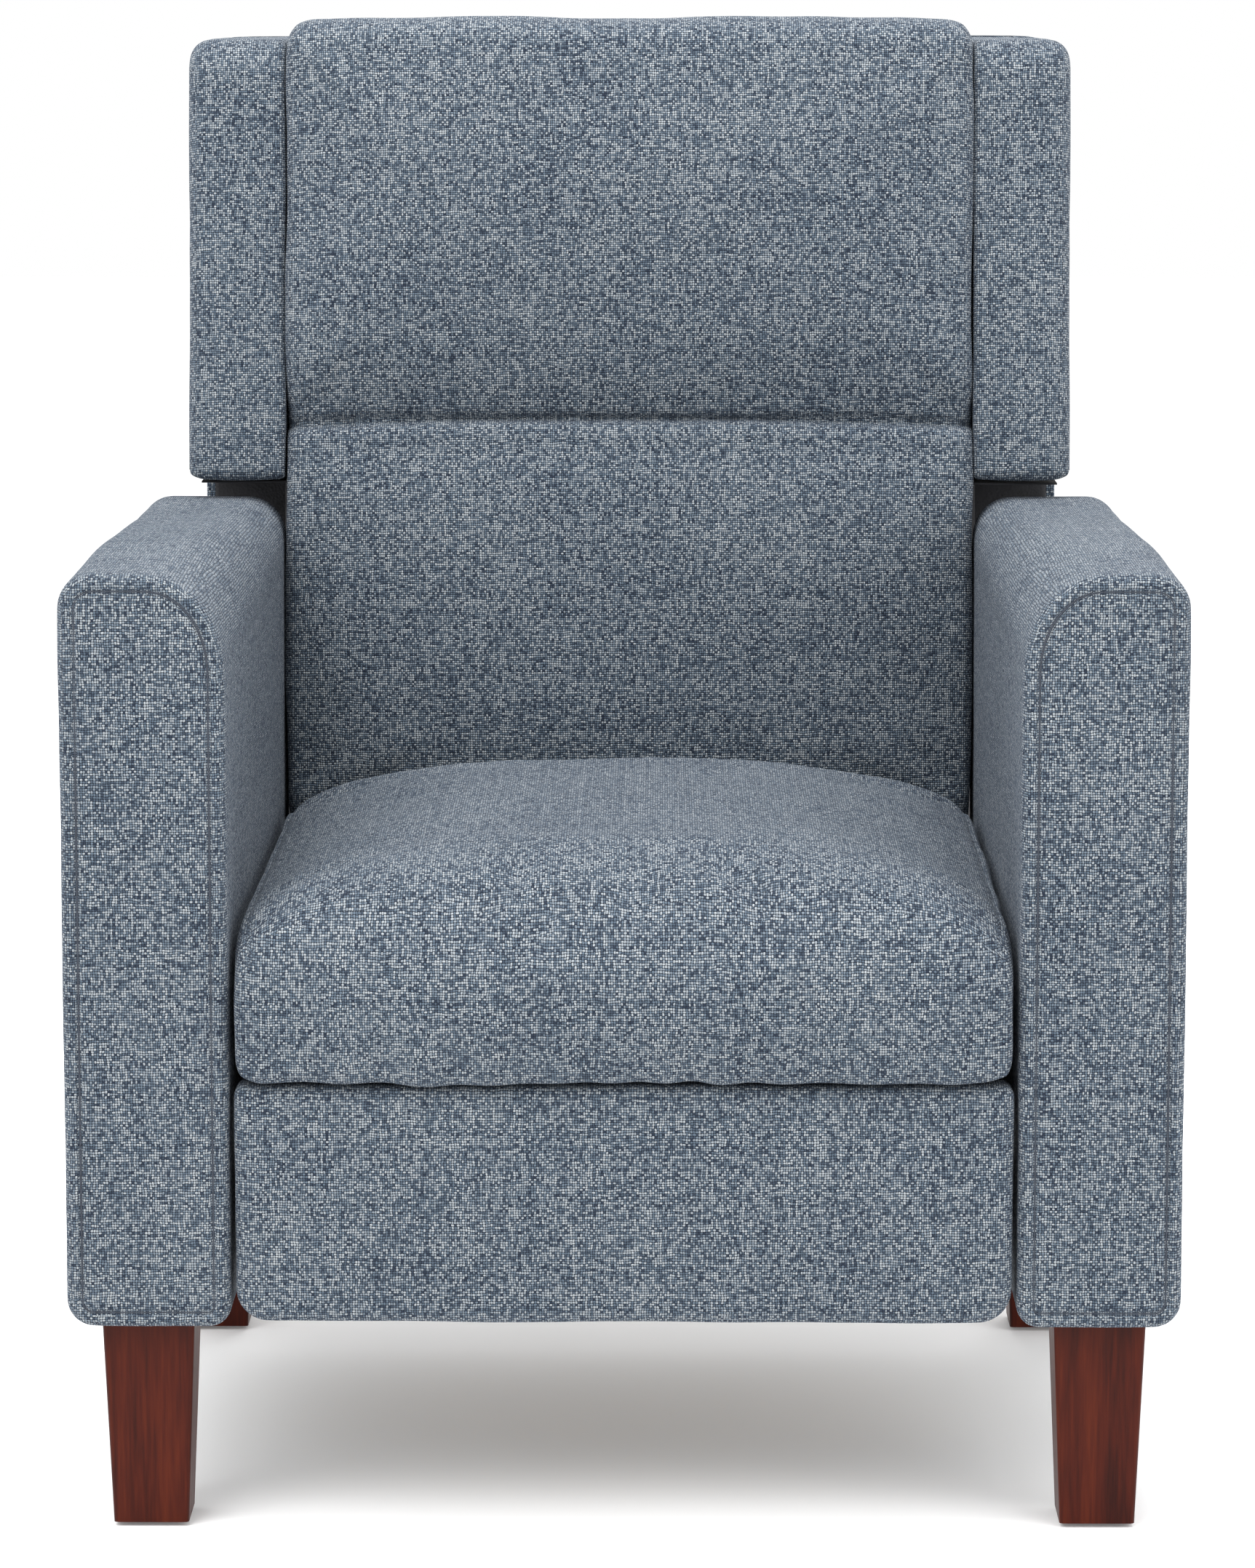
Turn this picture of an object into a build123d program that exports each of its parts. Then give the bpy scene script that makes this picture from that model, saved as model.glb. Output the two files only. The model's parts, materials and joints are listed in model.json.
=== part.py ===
from build123d import *

import os
from math import cos, radians, sin

# A push-back recliner armchair with wings, in millimetres. +X is the sitter's left, -Y is the
# front and +Z is up. The origin is on the floor, at the middle of the chair's outer box.
# "u" is a distance behind the arm fronts. The back leans, and has its own pair of distances:
# "v" rearwards out of the back's plane, and "w" up along it.

os.makedirs("parts", exist_ok=True)

# ---- Driving dimensions: arms and legs ----
ARM_INNER_X = 254
ARM_OUTER_X = 360
ARM_LENGTH = 635
ARM_BOTTOM_Z = 139
ARM_TOP_Z = 620
ARM_CORNER = 20
ARM_INNER_TOP_CORNER = 34
BOARD_X = 280
BOARD_WIDTH = 50
BOARD_THICKNESS = 32
BOTTOM_RAIL_Z = 150
BOTTOM_RAIL_HEIGHT = 45
TOP_RAIL_HEIGHT = 25
FRAME_TOP_Z = 590
FRAME_FRONT_U = 14
LEG_X = 309
LEG_TOP = 60
LEG_BOTTOM = 49
LEG_EDGE = 3
FRONT_LEG_U = 52
REAR_LEG_U = 590
GLIDE_RADIUS = 12.5
GLIDE_HEIGHT = 3
BOLT_RADIUS = 4
LEG_BOLT_TIP_Z = 100
LEG_BOLT_TOP_Z = 185

# ---- Driving dimensions: seat, footrest and lower rails ----
CUSHION_HALF_WIDTH = 252
NOSE_REACH = 12
SEAT_REAR_U = 520
SEAT_BOTTOM_Z = 297
SEAT_TOP_Z = 440
SEAT_NOSE_RADIUS = 55
RAIL_THICKNESS = 25
SEAT_RAIL_Z = 275
SEAT_RAIL_HEIGHT = 22
SEAT_FRAME_HALF_WIDTH = 243
SEAT_FRAME_FRONT_U = 50
SPRING_RADIUS = 1.75
SPRING_Z = 294
SPRING_SPACING = 85
SPRING_SWING = 22
SPRING_PITCH = 30
FOOTREST_HALF_WIDTH = 251
FOOTREST_THICKNESS = 43
FOOTREST_BOTTOM_Z = 142
FOOTREST_TOP_Z = 292
FOOTREST_CORNER = 22
FOOT_BOARD_THICKNESS = 15
FOOT_BOARD_HALF_WIDTH = 235
REAR_RAIL_U = 600
REAR_RAIL_THICKNESS = 22
REAR_RAIL_BOTTOM_Z = 145
REAR_RAIL_TOP_Z = 235
COVER_THICKNESS = 3

# ---- Driving dimensions: back and wings ----
BACK_LEAN = 8
BACK_U = 600
BACK_Z = 275
BACK_PAD_THICKNESS = 85
LOWER_PAD_W = 86
PAD_SEAM_W = 400
UPPER_PAD_TOP_W = 688
SIDE_PANEL_INNER_X = 221.5
SIDE_PANEL_THICKNESS = 18
SIDE_PANEL_DEPTH = 95
SIDE_PANEL_BOTTOM_W = 60
SIDE_PANEL_TOP_W = 678
WING_INNER_X = 253.5
WING_OUTER_X = 325
WING_FRONT_V = -57
WING_REAR_V = 119
WING_BOTTOM_Z = 634
WING_TOP_Z = 955
WING_BOARD_X = 296
WING_BOARD_THICKNESS = 15
OUTSIDE_BACK_V = 120
OUTSIDE_BACK_THICKNESS = 5
OUTSIDE_BACK_BOTTOM_Z = 300
LOWER_BACK_HALF_WIDTH = 250
SIDE_LINING_X = 246.5
LINING_THICKNESS = 2

# ---- Driving dimensions: steel linkage. Pivots are (u, z) points of the side view ----
STEEL = 3
LINK_EDGE = 9
PIN_RADIUS = 4
RUNNING_RADIUS = 4.05
SHOULDER_RADIUS = 6
SHOULDER_GAP = 0.5
BASE_PLATE_X = 251
SWING_LINK_X = 247
SEAT_PLATE_X = 243
FRONT_OTTOMAN_LINK_X = 239
REAR_OTTOMAN_LINK_X = 235
KNEE_LINK_X = 231
FRONT_BASE_PIVOT = (305, 172)
REAR_BASE_PIVOT = (505, 172)
SWING_LINK_LENGTH = 70
SWING_LINK_ANGLE = 60
FRONT_LINK_PIVOT = (76, 262)
LINK_PIVOT_SPREAD = 75
LINK_PIVOT_SPREAD_ANGLE = -18
OTTOMAN_LINK_LENGTH = 185
OTTOMAN_LINK_ANGLE = -33
FOOTREST_PIVOT = (57, 190)
CONTROL_CRANK = 18
CONTROL_CRANK_ANGLE = 65.5
CONTROL_EAR = 52
CONTROL_EAR_ANGLE = 31.6
CONTROL_SLOT_RADIUS = 7
BACK_PIVOT = (655, 300)
BACK_PIVOT_RADIUS = 5
BACK_BRACKET_X = 239.5
TORQUE_TUBE_RADIUS = 8
TORQUE_TUBE_BORE = 6

LEAN_SIN = sin(radians(BACK_LEAN))
LEAN_COS = cos(radians(BACK_LEAN))


def lean_w(v, z):
    """How far up the back a point is, from its v and its height above the floor."""
    return (z - BACK_Z + v * LEAN_SIN) / LEAN_COS


OUTSIDE_BACK_REAR_V = OUTSIDE_BACK_V + OUTSIDE_BACK_THICKNESS
REAR_REACH = (
    BACK_U
    + lean_w(OUTSIDE_BACK_REAR_V, WING_TOP_Z) * LEAN_SIN
    + OUTSIDE_BACK_REAR_V * LEAN_COS
)
ARM_FRONT_Y = -(REAR_REACH - NOSE_REACH) / 2


def away(point, distance, angle):
    """The side-view point at a distance from another one, at an angle up from straight back."""
    return (
        point[0] + distance * cos(radians(angle)),
        point[1] + distance * sin(radians(angle)),
    )


FRONT_SEAT_PIVOT = away(FRONT_BASE_PIVOT, SWING_LINK_LENGTH, SWING_LINK_ANGLE)
REAR_SEAT_PIVOT = away(REAR_BASE_PIVOT, SWING_LINK_LENGTH, SWING_LINK_ANGLE)
REAR_LINK_PIVOT = away(FRONT_LINK_PIVOT, LINK_PIVOT_SPREAD, LINK_PIVOT_SPREAD_ANGLE)
FRONT_KNEE_PIVOT = away(FRONT_LINK_PIVOT, OTTOMAN_LINK_LENGTH, OTTOMAN_LINK_ANGLE)
REAR_KNEE_PIVOT = away(REAR_LINK_PIVOT, OTTOMAN_LINK_LENGTH, OTTOMAN_LINK_ANGLE)
CONTROL_LINK_PIVOT = away(FRONT_KNEE_PIVOT, CONTROL_CRANK, CONTROL_CRANK_ANGLE)
CONTROL_FOOTREST_PIVOT = away(FOOTREST_PIVOT, CONTROL_EAR, CONTROL_EAR_ANGLE)


def at(u, z):
    """A point of the side view, on a side plane."""
    return (ARM_FRONT_Y + u, z)


def side_plane(x):
    """The upright plane at x. Its local x runs rearwards and its local y up."""
    return Plane.YZ.offset(x)


def front_plane(u):
    """The upright plane u behind the arm fronts. Its local x is +X and its local y is up."""
    return Plane.XZ.offset(-(ARM_FRONT_Y + u))


def back_side_plane(x):
    """The plane at x whose local x is the back's v and whose local y is the back's w."""
    return Plane(
        origin=(x, ARM_FRONT_Y + BACK_U, BACK_Z),
        x_dir=(0, LEAN_COS, -LEAN_SIN),
        z_dir=(1, 0, 0),
    )


def back_face_plane(v):
    """The leaning plane at v, facing forwards. Its local x is +X and its local y is w."""
    return Plane(
        origin=(0, ARM_FRONT_Y + BACK_U + v * LEAN_COS, BACK_Z - v * LEAN_SIN),
        x_dir=(1, 0, 0),
        z_dir=(0, -LEAN_COS, LEAN_SIN),
    )


def lean_point(u, z):
    """A side-view point as the back's v and w."""
    return (
        (u - BACK_U) * LEAN_COS - (z - BACK_Z) * LEAN_SIN,
        (u - BACK_U) * LEAN_SIN + (z - BACK_Z) * LEAN_COS,
    )


def save(piece, label):
    """Name a finished piece and write it."""
    piece.part.label = label
    export_step(piece.part, f"parts/{label}.step")


def cross_pins(x_inner, x_outer, points, radius=PIN_RADIUS, shoulder_x=None):
    """Round pins along X, one at each side-view point, on both sides of the chair.

    A shoulder, where there is one, fills the space of one link that the pin passes.
    """
    with BuildPart() as pins:
        with BuildSketch(side_plane(x_inner)):
            with Locations(*[at(*point) for point in points]):
                Circle(radius)
        extrude(amount=x_outer - x_inner)
        if shoulder_x is not None:
            with BuildSketch(side_plane(shoulder_x - SHOULDER_GAP)):
                with Locations(*[at(*point) for point in points]):
                    Circle(SHOULDER_RADIUS)
            extrude(amount=STEEL + 2 * SHOULDER_GAP)
        mirror(about=Plane.YZ)
    return pins


def link_plate(x_inner, pressed, running, slotted=()):
    """A flat steel link around its pivots, on both sides of the chair."""
    with BuildPart() as link:
        with BuildSketch(side_plane(x_inner)):
            with Locations(*[at(*point) for point in (*pressed, *running, *slotted)]):
                Circle(LINK_EDGE)
            make_hull()
            holes = [(point, PIN_RADIUS) for point in pressed]
            holes += [(point, RUNNING_RADIUS) for point in running]
            holes += [(point, CONTROL_SLOT_RADIUS) for point in slotted]
            for point, radius in holes:
                with Locations(at(*point)):
                    Circle(radius, mode=Mode.SUBTRACT)
        extrude(amount=STEEL)
        mirror(about=Plane.YZ)
    return link


# ---- Arm frames: a ring of boards inside each arm ----
FRAME_LENGTH = ARM_LENGTH - 2 * FRAME_FRONT_U
POST_BOTTOM_Z = BOTTOM_RAIL_Z + BOTTOM_RAIL_HEIGHT
POST_HEIGHT = FRAME_TOP_Z - POST_BOTTOM_Z
REAR_POST_U = ARM_LENGTH - FRAME_FRONT_U - BOARD_THICKNESS
LEG_BOLTS = [(LEG_X, ARM_FRONT_Y + FRONT_LEG_U), (LEG_X, ARM_FRONT_Y + REAR_LEG_U)]
BASE_SCREWS = [(320, 172), (405, 172), (490, 172)]
RAIL_BOLTS = [(611, 172), (611, 215)]
SCREW_RADIUS = 2.5

with BuildPart() as arm_bottom_rails:
    with Locations((BOARD_X, ARM_FRONT_Y + FRAME_FRONT_U, BOTTOM_RAIL_Z)):
        Box(BOARD_WIDTH, FRAME_LENGTH, BOTTOM_RAIL_HEIGHT, align=Align.MIN)
    with Locations(*[(x, y, BOTTOM_RAIL_Z) for x, y in LEG_BOLTS]):
        Cylinder(
            BOLT_RADIUS,
            LEG_BOLT_TOP_Z - BOTTOM_RAIL_Z,
            align=(Align.CENTER, Align.CENTER, Align.MIN),
            mode=Mode.SUBTRACT,
        )
    with BuildSketch(side_plane(BOARD_X)):
        with Locations(*[at(*point) for point in BASE_SCREWS]):
            Circle(SCREW_RADIUS)
    extrude(amount=20, mode=Mode.SUBTRACT)
    with BuildSketch(side_plane(BOARD_X)):
        with Locations(at(*RAIL_BOLTS[0])):
            Circle(BOLT_RADIUS)
    extrude(amount=40, mode=Mode.SUBTRACT)
    mirror(about=Plane.YZ)
save(arm_bottom_rails, "arm_bottom_rails")

with BuildPart() as arm_front_posts:
    with Locations((BOARD_X, ARM_FRONT_Y + FRAME_FRONT_U, POST_BOTTOM_Z)):
        Box(BOARD_WIDTH, BOARD_THICKNESS, POST_HEIGHT, align=Align.MIN)
    mirror(about=Plane.YZ)
save(arm_front_posts, "arm_front_posts")

with BuildPart() as arm_rear_posts:
    with Locations((BOARD_X, ARM_FRONT_Y + REAR_POST_U, POST_BOTTOM_Z)):
        Box(BOARD_WIDTH, BOARD_THICKNESS, POST_HEIGHT, align=Align.MIN)
    with BuildSketch(side_plane(BOARD_X)):
        with Locations(at(*RAIL_BOLTS[1])):
            Circle(BOLT_RADIUS)
    extrude(amount=40, mode=Mode.SUBTRACT)
    mirror(about=Plane.YZ)
save(arm_rear_posts, "arm_rear_posts")

with BuildPart() as arm_top_rails:
    top_rail_u = FRAME_FRONT_U + BOARD_THICKNESS
    with Locations((BOARD_X, ARM_FRONT_Y + top_rail_u, FRAME_TOP_Z - TOP_RAIL_HEIGHT)):
        Box(BOARD_WIDTH, REAR_POST_U - top_rail_u, TOP_RAIL_HEIGHT, align=Align.MIN)
    mirror(about=Plane.YZ)
save(arm_top_rails, "arm_top_rails")

# ---- Arm covers: padding and cloth around the boards ----
with BuildPart() as arm_cover_left:
    with BuildSketch(front_plane(0)):
        with Locations((ARM_INNER_X, ARM_BOTTOM_Z)):
            Rectangle(ARM_OUTER_X - ARM_INNER_X, ARM_TOP_Z - ARM_BOTTOM_Z, align=Align.MIN)
        inner_top = vertices().group_by(Axis.Y)[-1].sort_by(Axis.X)[0]
        fillet(inner_top, ARM_INNER_TOP_CORNER)
        fillet(vertices().group_by(Axis.Y)[-1].sort_by(Axis.X)[-1], ARM_CORNER)
        fillet(vertices().group_by(Axis.Y)[0], ARM_CORNER / 2)
    extrude(amount=-ARM_LENGTH)
    with Locations((BOARD_X, ARM_FRONT_Y + FRAME_FRONT_U, BOTTOM_RAIL_Z)):
        Box(
            BOARD_WIDTH,
            FRAME_LENGTH,
            FRAME_TOP_Z - BOTTOM_RAIL_Z,
            align=Align.MIN,
            mode=Mode.SUBTRACT,
        )
    # the padding between the boards, hung from the inner and outer faces
    with Locations((BOARD_X, ARM_FRONT_Y + top_rail_u, POST_BOTTOM_Z)):
        Box(
            BOARD_WIDTH,
            REAR_POST_U - top_rail_u,
            POST_HEIGHT - TOP_RAIL_HEIGHT,
            align=Align.MIN,
        )
    with Locations(*[(x, y, ARM_BOTTOM_Z) for x, y in LEG_BOLTS]):
        Cylinder(
            BOLT_RADIUS,
            BOTTOM_RAIL_Z - ARM_BOTTOM_Z,
            align=(Align.CENTER, Align.CENTER, Align.MIN),
            mode=Mode.SUBTRACT,
        )
    with BuildSketch(side_plane(ARM_INNER_X)):
        with Locations(*[at(*point) for point in BASE_SCREWS]):
            Circle(SCREW_RADIUS)
        with Locations(*[at(*point) for point in RAIL_BOLTS]):
            Circle(BOLT_RADIUS)
    extrude(amount=BOARD_X - ARM_INNER_X, mode=Mode.SUBTRACT)
save(arm_cover_left, "arm_cover_left")

with BuildPart() as arm_cover_right:
    mirror(arm_cover_left.part, about=Plane.YZ)
save(arm_cover_right, "arm_cover_right")

# ---- Legs, their bolts and glides ----


def tapered_leg(leg_y):
    """One tapered square leg under the left arm, bored for its hanger bolt."""
    with BuildPart() as leg:
        with BuildSketch(Plane.XY.offset(GLIDE_HEIGHT)):
            with Locations((LEG_X, leg_y)):
                RectangleRounded(LEG_BOTTOM, LEG_BOTTOM, LEG_EDGE)
        with BuildSketch(Plane.XY.offset(ARM_BOTTOM_Z)):
            with Locations((LEG_X, leg_y)):
                RectangleRounded(LEG_TOP, LEG_TOP, LEG_EDGE)
        loft()
        with Locations((LEG_X, leg_y, LEG_BOLT_TIP_Z)):
            Cylinder(
                BOLT_RADIUS,
                ARM_BOTTOM_Z - LEG_BOLT_TIP_Z,
                align=(Align.CENTER, Align.CENTER, Align.MIN),
                mode=Mode.SUBTRACT,
            )
    return leg


for place, (bolt_x, bolt_y) in zip(("front", "rear"), LEG_BOLTS):
    left_leg = tapered_leg(bolt_y)
    with BuildPart() as right_leg:
        mirror(left_leg.part, about=Plane.YZ)
    save(left_leg, f"{place}_leg_left")
    save(right_leg, f"{place}_leg_right")

with BuildPart() as leg_bolts:
    with Locations(*[(x, y, LEG_BOLT_TIP_Z) for x, y in LEG_BOLTS]):
        Cylinder(
            BOLT_RADIUS,
            LEG_BOLT_TOP_Z - LEG_BOLT_TIP_Z,
            align=(Align.CENTER, Align.CENTER, Align.MIN),
        )
    mirror(about=Plane.YZ)
save(leg_bolts, "leg_bolts")

with BuildPart() as leg_glides:
    with Locations(*LEG_BOLTS):
        Cylinder(GLIDE_RADIUS, GLIDE_HEIGHT, align=(Align.CENTER, Align.CENTER, Align.MIN))
    chamfer(leg_glides.edges().filter_by(GeomType.CIRCLE).group_by(Axis.Z)[0], 0.8)
    mirror(about=Plane.YZ)
save(leg_glides, "leg_glides")

# ---- Rails between the arms ----
STRETCHER_U = 340
STRETCHER_Z = 142
STRETCHER_DEPTH = 30
STRETCHER_HEIGHT = 28

with BuildPart() as front_stretcher:
    with Locations((-BASE_PLATE_X, ARM_FRONT_Y + STRETCHER_U, STRETCHER_Z)):
        Box(2 * BASE_PLATE_X, STRETCHER_DEPTH, STRETCHER_HEIGHT, align=Align.MIN)
    chamfer(front_stretcher.edges().filter_by(Axis.X), 2)
save(front_stretcher, "front_stretcher")

with BuildPart() as rear_rail:
    with Locations((-ARM_INNER_X, ARM_FRONT_Y + REAR_RAIL_U, REAR_RAIL_BOTTOM_Z)):
        Box(
            2 * ARM_INNER_X,
            REAR_RAIL_THICKNESS,
            REAR_RAIL_TOP_Z - REAR_RAIL_BOTTOM_Z,
            align=Align.MIN,
        )
    for rail_end_x, reach in ((-ARM_INNER_X, 40), (ARM_INNER_X, -40)):
        with BuildSketch(side_plane(rail_end_x)):
            with Locations(*[at(*point) for point in RAIL_BOLTS]):
                Circle(BOLT_RADIUS)
        extrude(amount=reach, mode=Mode.SUBTRACT)
save(rear_rail, "rear_rail")

with BuildPart() as rear_rail_cover:
    with BuildSketch(side_plane(-ARM_INNER_X + 0.5)):
        with Locations(at(REAR_RAIL_U - COVER_THICKNESS, REAR_RAIL_BOTTOM_Z - COVER_THICKNESS)):
            RectangleRounded(
                REAR_RAIL_THICKNESS + 2 * COVER_THICKNESS,
                REAR_RAIL_TOP_Z - REAR_RAIL_BOTTOM_Z + 2 * COVER_THICKNESS,
                COVER_THICKNESS,
                align=Align.MIN,
            )
        with Locations(at(REAR_RAIL_U, REAR_RAIL_BOTTOM_Z)):
            Rectangle(
                REAR_RAIL_THICKNESS,
                REAR_RAIL_TOP_Z - REAR_RAIL_BOTTOM_Z,
                align=Align.MIN,
                mode=Mode.SUBTRACT,
            )
    extrude(amount=2 * ARM_INNER_X - 1)
save(rear_rail_cover, "rear_rail_cover")

rear_rail_bolts = cross_pins(ARM_INNER_X - 40, BOARD_X + 40, RAIL_BOLTS, BOLT_RADIUS)
save(rear_rail_bolts, "rear_rail_bolts")

# ---- Base plates, swing links and the seat's side plates ----
with BuildPart() as base_plates:
    with BuildSketch(side_plane(BASE_PLATE_X)):
        with Locations(at(FRONT_BASE_PIVOT[0], FRONT_BASE_PIVOT[1])):
            Circle(16)
        with Locations(at(REAR_BASE_PIVOT[0], REAR_BASE_PIVOT[1])):
            Circle(16)
        make_hull()
        with Locations(at(*FRONT_BASE_PIVOT), at(*REAR_BASE_PIVOT)):
            Circle(PIN_RADIUS, mode=Mode.SUBTRACT)
        with Locations(*[at(*point) for point in BASE_SCREWS]):
            Circle(SCREW_RADIUS, mode=Mode.SUBTRACT)
    extrude(amount=STEEL)
    mirror(about=Plane.YZ)
save(base_plates, "base_plates")

with BuildPart() as base_plate_screws:
    with BuildSketch(side_plane(BASE_PLATE_X)):
        with Locations(*[at(*point) for point in BASE_SCREWS]):
            Circle(SCREW_RADIUS)
    extrude(amount=BOARD_X + 20 - BASE_PLATE_X)
    with BuildSketch(side_plane(BASE_PLATE_X)):
        with Locations(*[at(*point) for point in BASE_SCREWS[1:2]]):
            Circle(5)
    extrude(amount=-2)
    mirror(about=Plane.YZ)
save(base_plate_screws, "base_plate_screws")

base_pivot_pins = cross_pins(SWING_LINK_X, ARM_INNER_X, [FRONT_BASE_PIVOT, REAR_BASE_PIVOT])
save(base_pivot_pins, "base_pivot_pins")

front_swing_links = link_plate(SWING_LINK_X, [], [FRONT_BASE_PIVOT, FRONT_SEAT_PIVOT])
save(front_swing_links, "front_swing_links")

rear_swing_links = link_plate(SWING_LINK_X, [], [REAR_BASE_PIVOT, REAR_SEAT_PIVOT])
save(rear_swing_links, "rear_swing_links")

seat_pivot_pins = cross_pins(
    SEAT_PLATE_X, SWING_LINK_X + STEEL, [FRONT_SEAT_PIVOT, REAR_SEAT_PIVOT]
)
save(seat_pivot_pins, "seat_pivot_pins")

PLATE_BOTTOM_Z = 250
PLATE_TOP_Z = 295
PLATE_FRONT_U = 62
PLATE_REAR_U = 600
LOBE_RADIUS = 11
SEAT_SCREWS = [(u, 286) for u in (100, 220, 340, 460)]
PLATE_MIDDLE_Z = (PLATE_BOTTOM_Z + PLATE_TOP_Z) / 2

with BuildPart() as seat_plates:
    with BuildSketch(side_plane(SEAT_PLATE_X)):
        with Locations(at(PLATE_REAR_U, PLATE_MIDDLE_Z)):
            Circle((PLATE_TOP_Z - PLATE_BOTTOM_Z) / 2)
        with Locations(at(*BACK_PIVOT)):
            Circle(15)
        make_hull()
        with Locations(at(PLATE_FRONT_U, PLATE_BOTTOM_Z)):
            Rectangle(PLATE_REAR_U - PLATE_FRONT_U, PLATE_TOP_Z - PLATE_BOTTOM_Z, align=Align.MIN)
        for lobe_u, lobe_z in (REAR_LINK_PIVOT, FRONT_SEAT_PIVOT, REAR_SEAT_PIVOT):
            with Locations(at(lobe_u, lobe_z)):
                Circle(LOBE_RADIUS)
                Rectangle(2 * LOBE_RADIUS, PLATE_TOP_Z - lobe_z - 5, align=(Align.CENTER, Align.MIN))
        with Locations(at(*FRONT_SEAT_PIVOT), at(*REAR_SEAT_PIVOT), at(*REAR_LINK_PIVOT)):
            Circle(PIN_RADIUS, mode=Mode.SUBTRACT)
        with Locations(at(*FRONT_LINK_PIVOT)):
            Circle(RUNNING_RADIUS, mode=Mode.SUBTRACT)
        with Locations(at(*BACK_PIVOT)):
            Circle(BACK_PIVOT_RADIUS, mode=Mode.SUBTRACT)
        with Locations(*[at(*point) for point in SEAT_SCREWS]):
            Circle(SCREW_RADIUS, mode=Mode.SUBTRACT)
    extrude(amount=STEEL)
    mirror(about=Plane.YZ)
save(seat_plates, "seat_plates")

seat_plate_screws = cross_pins(
    SEAT_FRAME_HALF_WIDTH - 18, SEAT_PLATE_X + STEEL, SEAT_SCREWS, SCREW_RADIUS
)
save(seat_plate_screws, "seat_plate_screws")

# ---- Seat frame, springs and cushion ----
SIDE_RAIL_U = SEAT_FRAME_FRONT_U + RAIL_THICKNESS
SEAT_REAR_RAIL_U = SEAT_REAR_U - RAIL_THICKNESS

with BuildPart() as seat_front_rail:
    with Locations((-SEAT_FRAME_HALF_WIDTH, ARM_FRONT_Y + SEAT_FRAME_FRONT_U, SEAT_RAIL_Z)):
        Box(2 * SEAT_FRAME_HALF_WIDTH, RAIL_THICKNESS, SEAT_RAIL_HEIGHT, align=Align.MIN)
save(seat_front_rail, "seat_front_rail")

with BuildPart() as seat_rear_rail:
    with Locations((-SEAT_FRAME_HALF_WIDTH, ARM_FRONT_Y + SEAT_REAR_RAIL_U, SEAT_RAIL_Z)):
        Box(2 * SEAT_FRAME_HALF_WIDTH, RAIL_THICKNESS, SEAT_RAIL_HEIGHT, align=Align.MIN)
save(seat_rear_rail, "seat_rear_rail")

with BuildPart() as seat_side_rails:
    rail_x = SEAT_FRAME_HALF_WIDTH - RAIL_THICKNESS
    with Locations((rail_x, ARM_FRONT_Y + SIDE_RAIL_U, SEAT_RAIL_Z)):
        Box(RAIL_THICKNESS, SEAT_REAR_RAIL_U - SIDE_RAIL_U, SEAT_RAIL_HEIGHT, align=Align.MIN)
    with BuildSketch(side_plane(SEAT_FRAME_HALF_WIDTH)):
        with Locations(*[at(*point) for point in SEAT_SCREWS]):
            Circle(SCREW_RADIUS)
    extrude(amount=-18, mode=Mode.SUBTRACT)
    mirror(about=Plane.YZ)
save(seat_side_rails, "seat_side_rails")

with BuildPart() as seat_springs:
    wave_count = round((SEAT_REAR_RAIL_U - SIDE_RAIL_U) / SPRING_PITCH) - 1
    first_turn = SIDE_RAIL_U + (SEAT_REAR_RAIL_U - SIDE_RAIL_U - wave_count * SPRING_PITCH) / 2
    for spring in range(-2, 3):
        middle_x = spring * SPRING_SPACING
        route = [(middle_x, ARM_FRONT_Y + SIDE_RAIL_U)]
        route.append((middle_x, ARM_FRONT_Y + first_turn))
        for wave in range(wave_count):
            side = SPRING_SWING if wave % 2 == 0 else -SPRING_SWING
            turn_y = ARM_FRONT_Y + first_turn + wave * SPRING_PITCH
            route.append((middle_x + side, turn_y))
            route.append((middle_x + side, turn_y + SPRING_PITCH))
        route.append((middle_x, ARM_FRONT_Y + SEAT_REAR_RAIL_U - (first_turn - SIDE_RAIL_U)))
        route.append((middle_x, ARM_FRONT_Y + SEAT_REAR_RAIL_U))
        with BuildLine(Plane.XY.offset(SPRING_Z)) as spring_wire:
            FilletPolyline(*route, radius=10)
        with BuildSketch(Plane(origin=spring_wire.line @ 0, z_dir=spring_wire.line % 0)):
            Circle(SPRING_RADIUS)
        sweep(path=spring_wire.line)
save(seat_springs, "seat_springs")

with BuildPart() as seat_cushion:
    with BuildSketch(side_plane(-CUSHION_HALF_WIDTH)):
        with Locations(at(-NOSE_REACH, SEAT_BOTTOM_Z)):
            Rectangle(SEAT_REAR_U + NOSE_REACH, SEAT_TOP_Z - SEAT_BOTTOM_Z, align=Align.MIN)
        nose_top = vertices().group_by(Axis.Y)[-1].sort_by(Axis.X)[0]
        fillet(nose_top, SEAT_NOSE_RADIUS)
        fillet(vertices().group_by(Axis.Y)[0].sort_by(Axis.X)[0], 25)
        fillet(vertices().sort_by(Axis.X)[-2:], 15)
    extrude(amount=2 * CUSHION_HALF_WIDTH)
save(seat_cushion, "seat_cushion")

# ---- Footrest linkage ----
with BuildPart() as front_ottoman_links:
    with BuildSketch(side_plane(FRONT_OTTOMAN_LINK_X)):
        with Locations(at(*FRONT_LINK_PIVOT), at(*FRONT_KNEE_PIVOT)):
            Circle(LINK_EDGE)
        make_hull()
    extrude(amount=STEEL)
    with BuildSketch(side_plane(FRONT_OTTOMAN_LINK_X)):
        with Locations(at(*FRONT_KNEE_PIVOT), at(*CONTROL_LINK_PIVOT)):
            Circle(LINK_EDGE)
        make_hull()
    extrude(amount=STEEL)
    with BuildSketch(side_plane(FRONT_OTTOMAN_LINK_X)):
        with Locations(at(*FRONT_LINK_PIVOT)):
            Circle(PIN_RADIUS)
        with Locations(at(*FRONT_KNEE_PIVOT), at(*CONTROL_LINK_PIVOT)):
            Circle(RUNNING_RADIUS)
    extrude(amount=STEEL, mode=Mode.SUBTRACT)
    mirror(about=Plane.YZ)
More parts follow.
